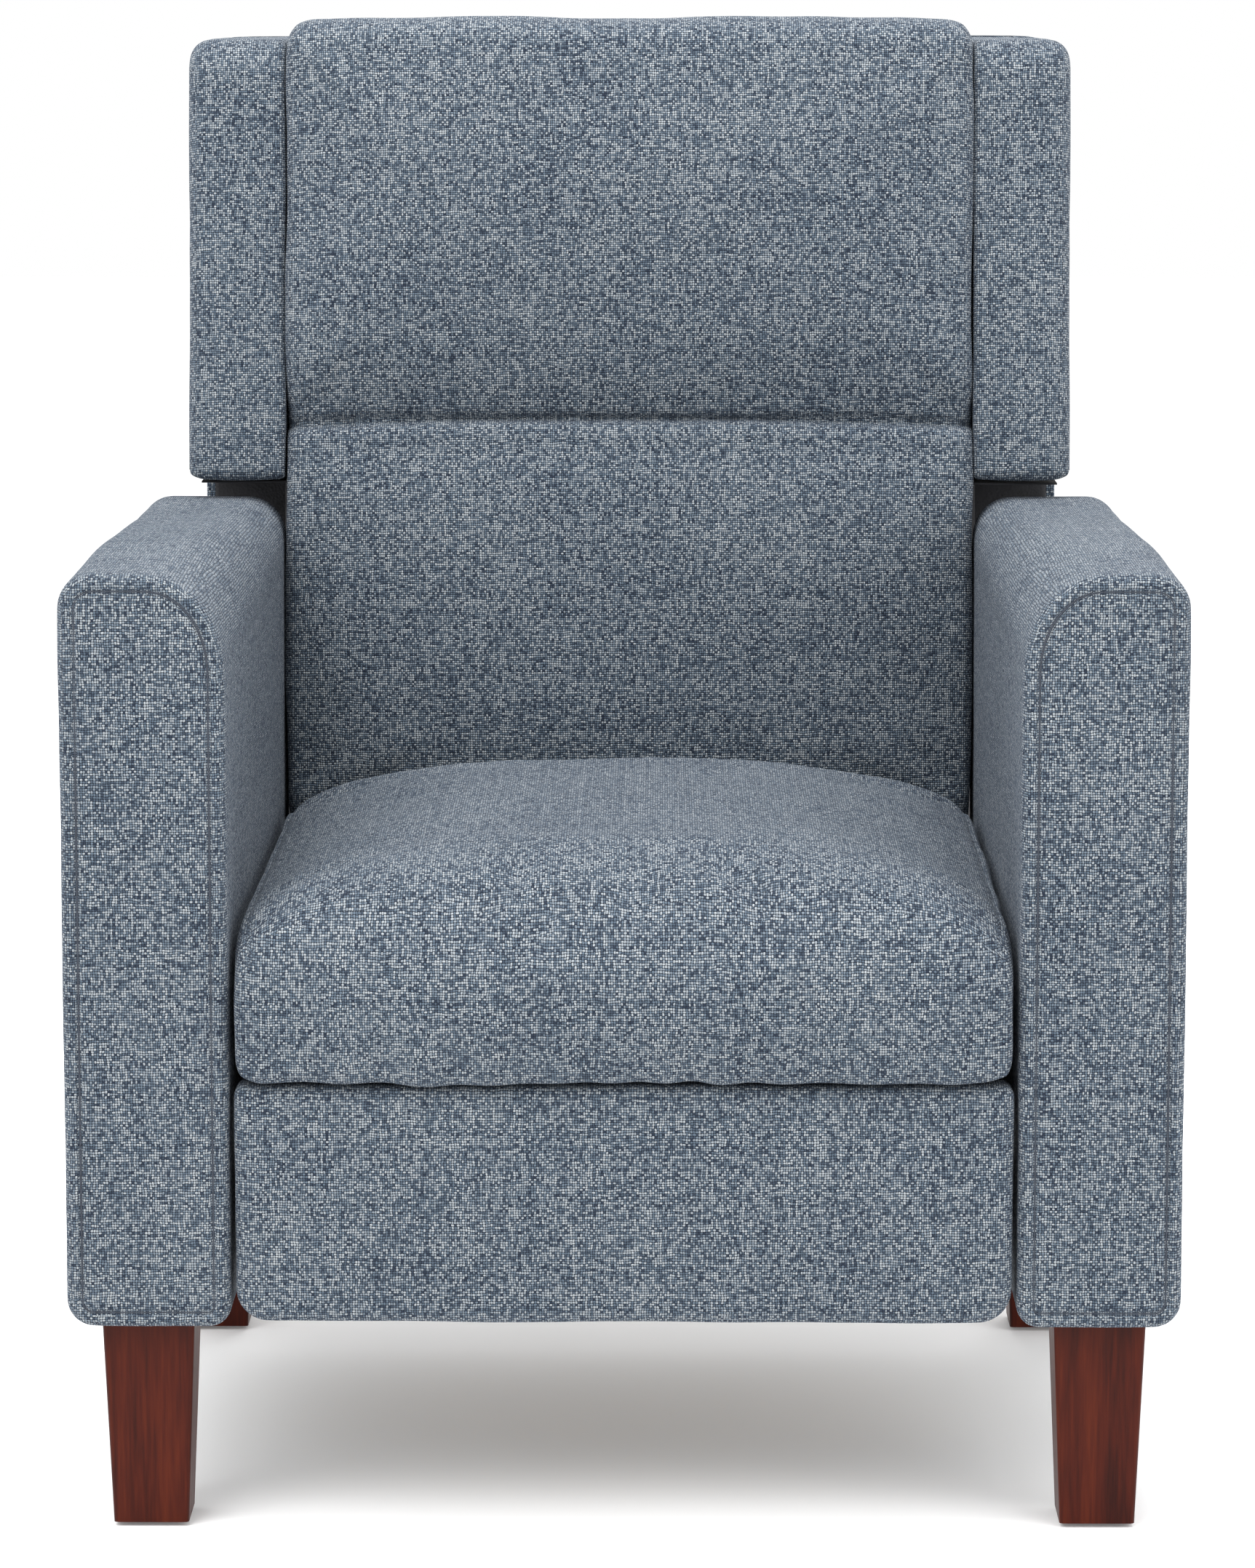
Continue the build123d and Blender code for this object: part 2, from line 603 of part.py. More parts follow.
save(front_ottoman_links, "front_ottoman_links")

front_link_pins = cross_pins(FRONT_OTTOMAN_LINK_X, SEAT_PLATE_X + STEEL, [FRONT_LINK_PIVOT])
save(front_link_pins, "front_link_pins")

with BuildPart() as torque_tube:
    with BuildSketch(side_plane(-FRONT_OTTOMAN_LINK_X)):
        with Locations(at(*FRONT_LINK_PIVOT)):
            Circle(TORQUE_TUBE_RADIUS)
            Circle(TORQUE_TUBE_BORE, mode=Mode.SUBTRACT)
    extrude(amount=2 * FRONT_OTTOMAN_LINK_X)
save(torque_tube, "torque_tube")

rear_ottoman_links = link_plate(REAR_OTTOMAN_LINK_X, [], [REAR_LINK_PIVOT, REAR_KNEE_PIVOT])
save(rear_ottoman_links, "rear_ottoman_links")

rear_link_pins = cross_pins(
    REAR_OTTOMAN_LINK_X,
    SEAT_PLATE_X + STEEL,
    [REAR_LINK_PIVOT],
    shoulder_x=FRONT_OTTOMAN_LINK_X,
)
save(rear_link_pins, "rear_link_pins")

knee_links = link_plate(KNEE_LINK_X, [FRONT_KNEE_PIVOT, REAR_KNEE_PIVOT], [FOOTREST_PIVOT])
save(knee_links, "knee_links")

front_knee_pins = cross_pins(
    KNEE_LINK_X,
    FRONT_OTTOMAN_LINK_X + STEEL,
    [FRONT_KNEE_PIVOT],
    shoulder_x=REAR_OTTOMAN_LINK_X,
)
rear_knee_pins = cross_pins(KNEE_LINK_X, REAR_OTTOMAN_LINK_X + STEEL, [REAR_KNEE_PIVOT])
with BuildPart() as knee_link_pins:
    add(front_knee_pins.part)
    add(rear_knee_pins.part)
save(knee_link_pins, "knee_link_pins")

control_links = link_plate(SEAT_PLATE_X, [CONTROL_LINK_PIVOT], [], [CONTROL_FOOTREST_PIVOT])
save(control_links, "control_links")

control_link_pins = cross_pins(
    FRONT_OTTOMAN_LINK_X, SEAT_PLATE_X + STEEL, [CONTROL_LINK_PIVOT]
)
save(control_link_pins, "control_link_pins")

# ---- Footrest ----
BRACKET_X = FRONT_OTTOMAN_LINK_X
BRACKET_FLANGE_X = 205
BRACKET_FLANGE_Z = 168
BRACKET_FLANGE_TOP_Z = 240
BRACKET_BOLTS = [(218, 178), (218, 225)]

with BuildPart() as footrest_brackets:
    with BuildSketch(side_plane(BRACKET_X)):
        with Locations(at(*FOOTREST_PIVOT), at(*CONTROL_FOOTREST_PIVOT)):
            Circle(LINK_EDGE)
        with Locations(at(FOOTREST_THICKNESS, BRACKET_FLANGE_Z)):
            Rectangle(STEEL, BRACKET_FLANGE_TOP_Z - BRACKET_FLANGE_Z, align=Align.MIN)
        make_hull()
        with Locations(at(*FOOTREST_PIVOT), at(*CONTROL_FOOTREST_PIVOT)):
            Circle(PIN_RADIUS, mode=Mode.SUBTRACT)
    extrude(amount=STEEL)
    with BuildSketch(front_plane(FOOTREST_THICKNESS)):
        with Locations((BRACKET_FLANGE_X, BRACKET_FLANGE_Z)):
            Rectangle(
                BRACKET_X + STEEL - BRACKET_FLANGE_X,
                BRACKET_FLANGE_TOP_Z - BRACKET_FLANGE_Z,
                align=Align.MIN,
            )
        with Locations(*BRACKET_BOLTS):
            Circle(SCREW_RADIUS, mode=Mode.SUBTRACT)
    extrude(amount=-STEEL)
    mirror(about=Plane.YZ)
save(footrest_brackets, "footrest_brackets")

footrest_pivot_pins = cross_pins(
    KNEE_LINK_X, BRACKET_X + STEEL, [FOOTREST_PIVOT], shoulder_x=REAR_OTTOMAN_LINK_X
)
footrest_control_pins = cross_pins(BRACKET_X, SEAT_PLATE_X + STEEL, [CONTROL_FOOTREST_PIVOT])
with BuildPart() as footrest_pins:
    add(footrest_pivot_pins.part)
    add(footrest_control_pins.part)
save(footrest_pins, "footrest_pins")

BOARD_MARGIN = FOOTREST_HALF_WIDTH - FOOT_BOARD_HALF_WIDTH
FOOT_BOARD_U = FOOTREST_THICKNESS - FOOT_BOARD_THICKNESS
FOOT_BOARD_HEIGHT = FOOTREST_TOP_Z - FOOTREST_BOTTOM_Z - BOARD_MARGIN
FOOTREST_MIDDLE_Z = (FOOTREST_TOP_Z + FOOTREST_BOTTOM_Z) / 2

with BuildPart() as footrest_board:
    with BuildSketch(front_plane(FOOT_BOARD_U)):
        with Locations((0, FOOTREST_MIDDLE_Z)):
            RectangleRounded(2 * FOOT_BOARD_HALF_WIDTH, FOOT_BOARD_HEIGHT, FOOTREST_CORNER - 10)
    extrude(amount=-FOOT_BOARD_THICKNESS)
    with BuildSketch(front_plane(FOOTREST_THICKNESS)):
        with Locations(*BRACKET_BOLTS, *[(-x, z) for x, z in BRACKET_BOLTS]):
            Circle(SCREW_RADIUS)
    extrude(amount=FOOT_BOARD_THICKNESS - 2, mode=Mode.SUBTRACT)
save(footrest_board, "footrest_board")

with BuildPart() as footrest_bracket_screws:
    with BuildSketch(front_plane(FOOTREST_THICKNESS + STEEL)):
        with Locations(*BRACKET_BOLTS):
            Circle(SCREW_RADIUS)
    extrude(amount=FOOT_BOARD_THICKNESS - 2 + STEEL)
    mirror(about=Plane.YZ)
save(footrest_bracket_screws, "footrest_bracket_screws")

with BuildPart() as footrest_pad:
    with BuildSketch(front_plane(0)):
        with Locations((0, FOOTREST_MIDDLE_Z)):
            RectangleRounded(
                2 * FOOTREST_HALF_WIDTH, FOOTREST_TOP_Z - FOOTREST_BOTTOM_Z, FOOTREST_CORNER
            )
    extrude(amount=-FOOTREST_THICKNESS)
    fillet(footrest_pad.faces().sort_by(Axis.Y)[0].edges(), 8)
    with BuildSketch(front_plane(FOOT_BOARD_U)):
        with Locations((0, FOOTREST_MIDDLE_Z)):
            RectangleRounded(2 * FOOT_BOARD_HALF_WIDTH, FOOT_BOARD_HEIGHT, FOOTREST_CORNER - 10)
    extrude(amount=-FOOT_BOARD_THICKNESS, mode=Mode.SUBTRACT)
save(footrest_pad, "footrest_pad")

# ---- Back frame ----
BRACKET_BOLT_POINTS = [(45, 100), (45, 160)]
WING_BOLT_POINTS = [(45, 420), (45, 520), (45, 620)]
CROSS_RAIL_V = 30
CROSS_RAIL_THICKNESS = 30
BACK_PIVOT_VW = lean_point(*BACK_PIVOT)

with BuildPart() as back_side_panels:
    with BuildSketch(back_side_plane(SIDE_PANEL_INNER_X)):
        with Locations((0, SIDE_PANEL_BOTTOM_W)):
            Rectangle(
                SIDE_PANEL_DEPTH, SIDE_PANEL_TOP_W - SIDE_PANEL_BOTTOM_W, align=Align.MIN
            )
        fillet(vertices(), 12)
        with Locations(*BRACKET_BOLT_POINTS, *WING_BOLT_POINTS):
            Circle(BOLT_RADIUS, mode=Mode.SUBTRACT)
    extrude(amount=SIDE_PANEL_THICKNESS)
    mirror(about=Plane.YZ)
save(back_side_panels, "back_side_panels")

for rail_name, rail_w, rail_height in (
    ("back_bottom_rail", 60, 60),
    ("back_middle_rail", 370, 50),
    ("back_top_rail", 625, 45),
):
    with BuildPart() as back_rail:
        with BuildSketch(back_side_plane(-SIDE_PANEL_INNER_X)):
            with Locations((CROSS_RAIL_V, rail_w)):
                Rectangle(CROSS_RAIL_THICKNESS, rail_height, align=Align.MIN)
        extrude(amount=2 * SIDE_PANEL_INNER_X)
    save(back_rail, rail_name)

STRAP_V = 12
STRAP_THICKNESS = 2
STRAP_WIDTH = 50

with BuildPart() as back_webbing:
    with BuildSketch(back_side_plane(-SIDE_PANEL_INNER_X)):
        with Locations(*[(STRAP_V, w) for w in range(140, 641, 100)]):
            Rectangle(STRAP_THICKNESS, STRAP_WIDTH, align=(Align.MIN, Align.CENTER))
    extrude(amount=2 * SIDE_PANEL_INNER_X)
save(back_webbing, "back_webbing")

with BuildPart() as back_brackets:
    with BuildSketch(back_side_plane(BACK_BRACKET_X)):
        with Locations(BACK_PIVOT_VW):
            Circle(15)
        with Locations((45, 130)):
            RectangleRounded(34, 90, 8)
        make_hull()
        with Locations(BACK_PIVOT_VW):
            Circle(BACK_PIVOT_RADIUS + 0.05, mode=Mode.SUBTRACT)
        with Locations(*BRACKET_BOLT_POINTS):
            Circle(BOLT_RADIUS, mode=Mode.SUBTRACT)
    extrude(amount=STEEL)
    mirror(about=Plane.YZ)
save(back_brackets, "back_brackets")

back_pivot_pins = cross_pins(
    BACK_BRACKET_X, SEAT_PLATE_X + STEEL, [BACK_PIVOT], BACK_PIVOT_RADIUS
)
save(back_pivot_pins, "back_pivot_pins")

with BuildPart() as back_bracket_bolts:
    with BuildSketch(back_side_plane(SIDE_PANEL_INNER_X)):
        with Locations(*BRACKET_BOLT_POINTS):
            Circle(BOLT_RADIUS)
    extrude(amount=BACK_BRACKET_X + STEEL - SIDE_PANEL_INNER_X)
    with BuildSketch(back_side_plane(BACK_BRACKET_X + STEEL)):
        with Locations(*BRACKET_BOLT_POINTS):
            Circle(2 * BOLT_RADIUS)
    extrude(amount=2.5)
    mirror(about=Plane.YZ)
save(back_bracket_bolts, "back_bracket_bolts")

# ---- Back cushions ----
for pad_name, pad_bottom_w, pad_top_w, top_radius in (
    ("lower_back_cushion", LOWER_PAD_W, PAD_SEAM_W - 1, 12),
    ("upper_back_cushion", PAD_SEAM_W, UPPER_PAD_TOP_W, 30),
):
    with BuildPart() as back_pad:
        with BuildSketch(back_side_plane(-CUSHION_HALF_WIDTH)):
            with Locations((-BACK_PAD_THICKNESS, pad_bottom_w)):
                Rectangle(BACK_PAD_THICKNESS - 1, pad_top_w - pad_bottom_w, align=Align.MIN)
            fillet(vertices().group_by(Axis.Y)[-1], top_radius)
            fillet(vertices().group_by(Axis.Y)[0], 12)
        extrude(amount=2 * CUSHION_HALF_WIDTH)
    save(back_pad, pad_name)

# ---- Wings ----
WING_CORNERS = [
    (WING_FRONT_V, lean_w(WING_FRONT_V, WING_BOTTOM_Z)),
    (WING_REAR_V, lean_w(WING_REAR_V, WING_BOTTOM_Z)),
    (WING_REAR_V, lean_w(WING_REAR_V, WING_TOP_Z)),
    (WING_FRONT_V, lean_w(WING_FRONT_V, WING_TOP_Z)),
]
WING_BOARD_MARGIN = 25

with BuildPart() as wing_frames:
    with BuildSketch(back_side_plane(WING_BOARD_X)):
        with BuildLine():
            Polyline(*WING_CORNERS, close=True)
        make_face()
        offset(amount=-WING_BOARD_MARGIN)
        fillet(vertices(), 15)
        with Locations(*WING_BOLT_POINTS):
            Circle(BOLT_RADIUS, mode=Mode.SUBTRACT)
    extrude(amount=WING_BOARD_THICKNESS)
    mirror(about=Plane.YZ)
save(wing_frames, "wing_frames")

with BuildPart() as wing_cover_left:
    with BuildSketch(back_side_plane(WING_INNER_X)):
        with BuildLine():
            Polyline(*WING_CORNERS, close=True)
        make_face()
        fillet(vertices(), 20)
    extrude(amount=WING_OUTER_X - WING_INNER_X)
    fillet(wing_cover_left.faces().sort_by(Axis.X)[-1].edges(), 15)
    with BuildSketch(back_side_plane(WING_BOARD_X)):
        with BuildLine():
            Polyline(*WING_CORNERS, close=True)
        make_face()
        offset(amount=-WING_BOARD_MARGIN)
        fillet(vertices(), 15)
    extrude(amount=WING_BOARD_THICKNESS, mode=Mode.SUBTRACT)
    with BuildSketch(back_side_plane(WING_INNER_X)):
        with Locations(*WING_BOLT_POINTS):
            Circle(BOLT_RADIUS)
    extrude(amount=WING_BOARD_X - WING_INNER_X, mode=Mode.SUBTRACT)
save(wing_cover_left, "wing_cover_left")

with BuildPart() as wing_cover_right:
    mirror(wing_cover_left.part, about=Plane.YZ)
save(wing_cover_right, "wing_cover_right")

with BuildPart() as wing_bolts:
    with BuildSketch(back_side_plane(SIDE_PANEL_INNER_X)):
        with Locations(*WING_BOLT_POINTS):
            Circle(BOLT_RADIUS)
    extrude(amount=WING_BOARD_X + WING_BOARD_THICKNESS - SIDE_PANEL_INNER_X)
    mirror(about=Plane.YZ)
save(wing_bolts, "wing_bolts")

# ---- Outside back and side linings ----
SHOULDER_Z = WING_BOTTOM_Z
lower_w = lean_w(OUTSIDE_BACK_V, OUTSIDE_BACK_BOTTOM_Z)
shoulder_w = lean_w(OUTSIDE_BACK_V, SHOULDER_Z)
upper_w = lean_w(OUTSIDE_BACK_REAR_V, WING_TOP_Z)

with BuildPart() as outside_back:
    with BuildSketch(back_face_plane(OUTSIDE_BACK_REAR_V)):
        with Locations((0, lower_w)):
            Rectangle(
                2 * LOWER_BACK_HALF_WIDTH, upper_w - lower_w, align=(Align.CENTER, Align.MIN)
            )
        with Locations((0, shoulder_w)):
            Rectangle(2 * WING_OUTER_X, upper_w - shoulder_w, align=(Align.CENTER, Align.MIN))
        fillet(vertices().group_by(Axis.Y)[-1], 20)
    extrude(amount=OUTSIDE_BACK_THICKNESS)
save(outside_back, "outside_back")

with BuildPart() as side_linings:
    with BuildSketch(back_side_plane(SIDE_LINING_X)):
        with BuildLine():
            Polyline(
                (2, lean_w(2, 340)),
                (OUTSIDE_BACK_V - 1, lean_w(OUTSIDE_BACK_V, 305)),
                (OUTSIDE_BACK_V - 1, lean_w(OUTSIDE_BACK_V, WING_BOTTOM_Z + 20)),
                (2, lean_w(2, WING_BOTTOM_Z + 20)),
                close=True,
            )
        make_face()
    extrude(amount=LINING_THICKNESS)
    mirror(about=Plane.YZ)
save(side_linings, "side_linings")

TOP_COVER_Z = 945
TOP_COVER_THICKNESS = 4

with BuildPart() as back_top_cover:
    with BuildSketch(back_side_plane(-CUSHION_HALF_WIDTH)):
        with BuildLine():
            Polyline(
                (1, lean_w(1, TOP_COVER_Z)),
                (WING_REAR_V, lean_w(WING_REAR_V, TOP_COVER_Z)),
                (WING_REAR_V, lean_w(WING_REAR_V, TOP_COVER_Z + TOP_COVER_THICKNESS)),
                (1, lean_w(1, TOP_COVER_Z + TOP_COVER_THICKNESS)),
                close=True,
            )
        make_face()
    extrude(amount=2 * CUSHION_HALF_WIDTH)
save(back_top_cover, "back_top_cover")
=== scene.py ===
import json
import math

import bmesh
import bpy
import numpy as np
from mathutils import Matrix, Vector, noise


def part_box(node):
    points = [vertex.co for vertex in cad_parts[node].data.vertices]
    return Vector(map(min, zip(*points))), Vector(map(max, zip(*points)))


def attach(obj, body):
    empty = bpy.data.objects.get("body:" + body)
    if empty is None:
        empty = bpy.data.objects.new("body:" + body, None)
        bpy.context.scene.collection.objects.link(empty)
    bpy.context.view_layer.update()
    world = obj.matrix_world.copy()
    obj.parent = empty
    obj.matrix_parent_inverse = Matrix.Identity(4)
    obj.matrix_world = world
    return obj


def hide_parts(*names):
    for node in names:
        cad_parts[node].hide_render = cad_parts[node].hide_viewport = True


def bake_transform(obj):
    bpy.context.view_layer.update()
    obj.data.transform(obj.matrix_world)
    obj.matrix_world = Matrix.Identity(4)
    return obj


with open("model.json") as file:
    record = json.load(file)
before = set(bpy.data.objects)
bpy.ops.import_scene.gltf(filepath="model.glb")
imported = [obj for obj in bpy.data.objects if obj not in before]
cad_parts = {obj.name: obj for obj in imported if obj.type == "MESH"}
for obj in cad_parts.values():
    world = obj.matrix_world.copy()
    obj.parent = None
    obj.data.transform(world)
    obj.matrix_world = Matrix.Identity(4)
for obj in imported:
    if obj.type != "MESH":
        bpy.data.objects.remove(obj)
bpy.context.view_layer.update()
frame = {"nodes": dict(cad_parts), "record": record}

# ---- Places, from the frame. Metres; +X is the sitter's left, -Y the front ----
ARM_LOW, ARM_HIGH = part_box("arm_cover_left")
SEAT_LOW, SEAT_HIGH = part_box("seat_cushion")
FOOT_LOW, FOOT_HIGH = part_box("footrest_pad")
WING_LOW, WING_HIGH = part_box("wing_cover_left")
RAIL_LOW, RAIL_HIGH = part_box("rear_rail_cover")
OUTSIDE_LOW, OUTSIDE_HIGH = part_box("outside_back")
TOP_COVER_LOW, TOP_COVER_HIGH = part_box("back_top_cover")
FRONT_Y = ARM_LOW.y

# The back leans. v runs rearwards out of its plane and w up along it.
LEAN = math.radians(8)
LEAN_SIN, LEAN_COS, LEAN_TAN = math.sin(LEAN), math.cos(LEAN), math.tan(LEAN)
BACK_Y = FRONT_Y + 0.600
BACK_Z = 0.275
PAD_FRONT_V = -0.085
PAD_SEAM_W = 0.400
WING_FRONT_V, WING_REAR_V = -0.057, 0.119
OUTSIDE_V = 0.120


def lean_w(v, z):
    """How far up the back a point is, from its v and its height."""
    return (z - BACK_Z + v * LEAN_SIN) / LEAN_COS


def upright(points):
    """(x, u, z) points in the chair's frame, where u runs rearwards from the arm fronts."""
    return points + np.array([0.0, FRONT_Y, 0.0])


def leaning(points):
    """(x, v, w) points in the chair's frame."""
    x, v, w = points.T
    return np.stack(
        [x, BACK_Y + v * LEAN_COS + w * LEAN_SIN, BACK_Z - v * LEAN_SIN + w * LEAN_COS], axis=1
    )


def flat_of(points, leans):
    """The chair's points turned until its leaning back is upright, or as they are."""
    if not leans:
        return points
    x, y, z = points.T
    return np.stack([x, y * LEAN_COS - z * LEAN_SIN, y * LEAN_SIN + z * LEAN_COS], axis=1)


def side_view(points):
    """The (x, u, z) of points in the chair's frame."""
    return points - np.array([0.0, FRONT_Y, 0.0])


def back_view(points):
    """The (x, v, w) of points in the chair's frame."""
    return flat_of(points - np.array([0.0, BACK_Y, BACK_Z]), True)


# ---- Node graphs ----
class Graph:
    """A material's node graph, built one node at a time."""

    def __init__(self, name):
        self.material = bpy.data.materials.new(name)
        self.material.use_nodes = True
        self.nodes = self.material.node_tree.nodes
        self.links = self.material.node_tree.links
        self.shader = self.nodes["Principled BSDF"]

    def add(self, kind, settings=None, **inputs):
        node = self.nodes.new(kind)
        for key, value in (settings or {}).items():
            setattr(node, key, value)
        for key, value in inputs.items():
            self.put(node, key.replace("_", " "), value)
        return node

    def put(self, node, key, value):
        socket = node.inputs[int(key) if key.isdigit() else key]
        if isinstance(value, bpy.types.NodeSocket):
            self.links.new(value, socket)
        else:
            socket.default_value = value

    def math(self, operation, first, second=0.0, third=0.0):
        node = self.nodes.new("ShaderNodeMath")
        node.operation = operation
        for index, value in enumerate((first, second, third)):
            self.put(node, str(index), value)
        return node.outputs[0]

    def noise(self, vector, scale, detail=2.0, dimensions="3D"):
        node = self.add(
            "ShaderNodeTexNoise", {"noise_dimensions": dimensions}, Scale=scale, Detail=detail
        )
        self.put(node, "Vector", vector)
        return node.outputs["Fac"]

    def mix(self, factor, first, second):
        node = self.nodes.new("ShaderNodeMix")
        node.data_type = "RGBA"
        self.put(node, "0", factor)
        self.put(node, "6", first)
        self.put(node, "7", second)
        return node.outputs[2]

    def ramp(self, factor, stops):
        node = self.nodes.new("ShaderNodeValToRGB")
        while len(node.color_ramp.elements) < len(stops):
            node.color_ramp.elements.new(0.5)
        for element, (place, colour) in zip(node.color_ramp.elements, stops):
            element.position = place
            element.color = (*colour, 1.0)
        self.put(node, "0", factor)
        return node.outputs[0]

    def bump(self, height, strength, distance):
        node = self.add("ShaderNodeBump", Strength=strength, Distance=distance)
        self.put(node, "Height", height)
        self.links.new(node.outputs[0], self.shader.inputs["Normal"])


YARN_PITCH = 0.00165
LIGHT_YARN = (0.330, 0.358, 0.378)
MIDDLE_YARN = (0.100, 0.134, 0.172)
DARK_YARN = (0.017, 0.026, 0.044)
# Near-black colour mixed into the weave's hollows: painted shade between the yarns.
WEAVE_GAP_SHADE = (0.006, 0.009, 0.016, 1.0)


def tweed_material():
    """A close basket weave of pale grey, slate and navy yarns, on the cloth's flat coordinates,
    with painted shade darkening the hollows between the yarns.
    """
    g = Graph("tweed")
    place = g.add("ShaderNodeUVMap", {"uv_map": "cloth"}).outputs[0]
    split = g.add("ShaderNodeSeparateXYZ", Vector=place)
    wander = g.math("MULTIPLY_ADD", g.noise(place, 130.0, 2.0), 1.3, -0.65)
    waver = g.math("MULTIPLY_ADD", g.noise(place, 75.0, 1.0), -1.3, 0.65)
    across = g.math("MULTIPLY_ADD", split.outputs[0], 1 / YARN_PITCH, wander)
    along = g.math("MULTIPLY_ADD", split.outputs[1], 1 / YARN_PITCH, waver)
    column, row = g.math("FLOOR", across), g.math("FLOOR", along)
    inside_column, inside_row = g.math("FRACT", across), g.math("FRACT", along)
    over = g.math("MODULO", g.math("ABSOLUTE", g.math("ADD", column, row)), 2.0)

    def yarn(inside_lane, inside_run):
        """How high one yarn stands where it crosses over the other."""
        lane = g.math("SINE", g.math("MULTIPLY", inside_lane, math.pi))
        run = g.math("SINE", g.math("MULTIPLY", inside_run, math.pi))
        return g.math("MULTIPLY", lane, g.math("MULTIPLY_ADD", run, 0.5, 0.5))

    def pick(first, second):
        """first where the warp is on top and second where the weft is."""
        node = g.add("ShaderNodeMix", {"data_type": "FLOAT"})
        for index, value in ((0, over), (2, first), (3, second)):
            g.put(node, str(index), value)
        return node.outputs[0]

    height = pick(yarn(inside_column, inside_row), yarn(inside_row, inside_column))
    crossing = g.add("ShaderNodeCombineXYZ", X=column, Y=row, Z=3.0)
    own = g.add("ShaderNodeTexWhiteNoise", {"noise_dimensions": "3D"}, Vector=crossing.outputs[0])
    lane = g.add("ShaderNodeCombineXYZ", X=pick(column, row), Y=over, Z=9.0)
    dye = g.add("ShaderNodeTexWhiteNoise", {"noise_dimensions": "3D"}, Vector=lane.outputs[0])
    own_tone = g.math("MULTIPLY_ADD", own.outputs[0], 0.72, 0.10)
    tone = g.math("MULTIPLY_ADD", dye.outputs[0], 0.14, own_tone)
    patch = g.math("MULTIPLY_ADD", g.noise(place, 9.0, 3.0), 0.20, -0.10)
    colour = g.ramp(
        g.math("ADD", tone, patch), [(0.14, DARK_YARN), (0.46, MIDDLE_YARN), (0.88, LIGHT_YARN)]
    )
    fuzz = g.noise(place, 1700.0, 2.0)
    # Painted shade: where a yarn dips low between its neighbours, its colour is mixed towards the
    # near-black gap colour.
    depth = g.math("SMOOTH_MIN", g.math("MULTIPLY_ADD", height, 2.1, -0.42), 1.0, 0.2)
    shown = g.math("MULTIPLY", depth, g.math("MULTIPLY_ADD", fuzz, 0.7, 0.65))
    g.put(g.shader, "Base Color", g.mix(g.math("MAXIMUM", shown, 0.0), WEAVE_GAP_SHADE, colour))
    g.put(g.shader, "Roughness", 0.93)
    g.put(g.shader, "Sheen Weight", 0.10)
    g.put(g.shader, "Sheen Roughness", 0.45)
    g.put(g.shader, "Sheen Tint", (0.75, 0.82, 1.0, 1.0))
    g.put(g.shader, "Specular IOR Level", 0.18)
    g.bump(g.math("MULTIPLY_ADD", fuzz, 0.35, height), 0.8, 0.0008)
    return g.material


def thread_material():
    """Painted shade for the seams: a near-black twisted cord, far darker than the cloth, standing
    for the shadow in a seam's groove.
    """
    g = Graph("seam_shade")
    place = g.add("ShaderNodeTexCoord").outputs["Object"]
    twist = g.noise(place, 900.0, 2.0)
    # Near-black: painted shade of the seam's groove.
    colour = g.ramp(twist, [(0.3, (0.008, 0.011, 0.018)), (0.7, (0.035, 0.045, 0.065))])
    g.put(g.shader, "Base Color", colour)
    g.put(g.shader, "Roughness", 0.7)
    g.bump(twist, 0.4, 0.0004)
    return g.material


def stained_wood_material():
    """Red-brown stained hardwood with fine upright grain under a satin lacquer."""
    g = Graph("stained_wood")
    place = g.add("ShaderNodeTexCoord").outputs["Object"]
    stretch = g.add("ShaderNodeMapping", Vector=place, Scale=(1.0, 1.0, 0.045))
    grain = g.noise(stretch.outputs[0], 420.0, 5.0)
    figure = g.noise(stretch.outputs[0], 60.0, 3.0)
    both = g.math("MULTIPLY_ADD", figure, 0.6, g.math("MULTIPLY", grain, 0.5))
    dark, red, pale = (0.020, 0.0025, 0.001), (0.047, 0.006, 0.002), (0.073, 0.011, 0.003)
    colour = g.ramp(both, [(0.36, dark), (0.55, red), (0.74, pale)])
    g.put(g.shader, "Base Color", colour)
    g.put(g.shader, "Roughness", g.math("MULTIPLY_ADD", grain, 0.18, 0.30))
    g.put(g.shader, "Coat Weight", 0.02)
    g.put(g.shader, "Coat Roughness", 0.30)
    g.put(g.shader, "Specular IOR Level", 0.11)
    g.bump(grain, 0.18, 0.0004)
    return g.material


def raw_wood_material():
    """Pale plywood and softwood with a long grain and darker knots."""
    g = Graph("raw_wood")
    place = g.add("ShaderNodeTexCoord").outputs["Object"]
    stretch = g.add("ShaderNodeMapping", Vector=place, Scale=(0.10, 0.16, 1.0))
    grain = g.noise(stretch.outputs[0], 150.0, 5.0)
    colour = g.ramp(
        grain, [(0.32, (0.36, 0.21, 0.10)), (0.52, (0.58, 0.40, 0.22)), (0.72, (0.70, 0.53, 0.33))]
    )
    g.put(g.shader, "Base Color", colour)
    g.put(g.shader, "Roughness", g.math("MULTIPLY_ADD", grain, 0.2, 0.60))
    g.bump(grain, 0.30, 0.0006)
    return g.material


def powder_steel_material():
    """Black powder-coated steel, with orange-peel and rubbed lighter spots."""
    g = Graph("powder_steel")
    place = g.add("ShaderNodeTexCoord").outputs["Object"]
    peel = g.noise(place, 700.0, 2.0)
    wear = g.noise(place, 40.0, 4.0)
    colour = g.ramp(wear, [(0.4, (0.012, 0.012, 0.014)), (0.75, (0.045, 0.045, 0.05))])
    g.put(g.shader, "Base Color", colour)
    g.put(g.shader, "Metallic", 0.25)
    g.put(g.shader, "Roughness", g.math("MULTIPLY_ADD", wear, 0.25, 0.32))
    g.bump(peel, 0.25, 0.0003)
    return g.material


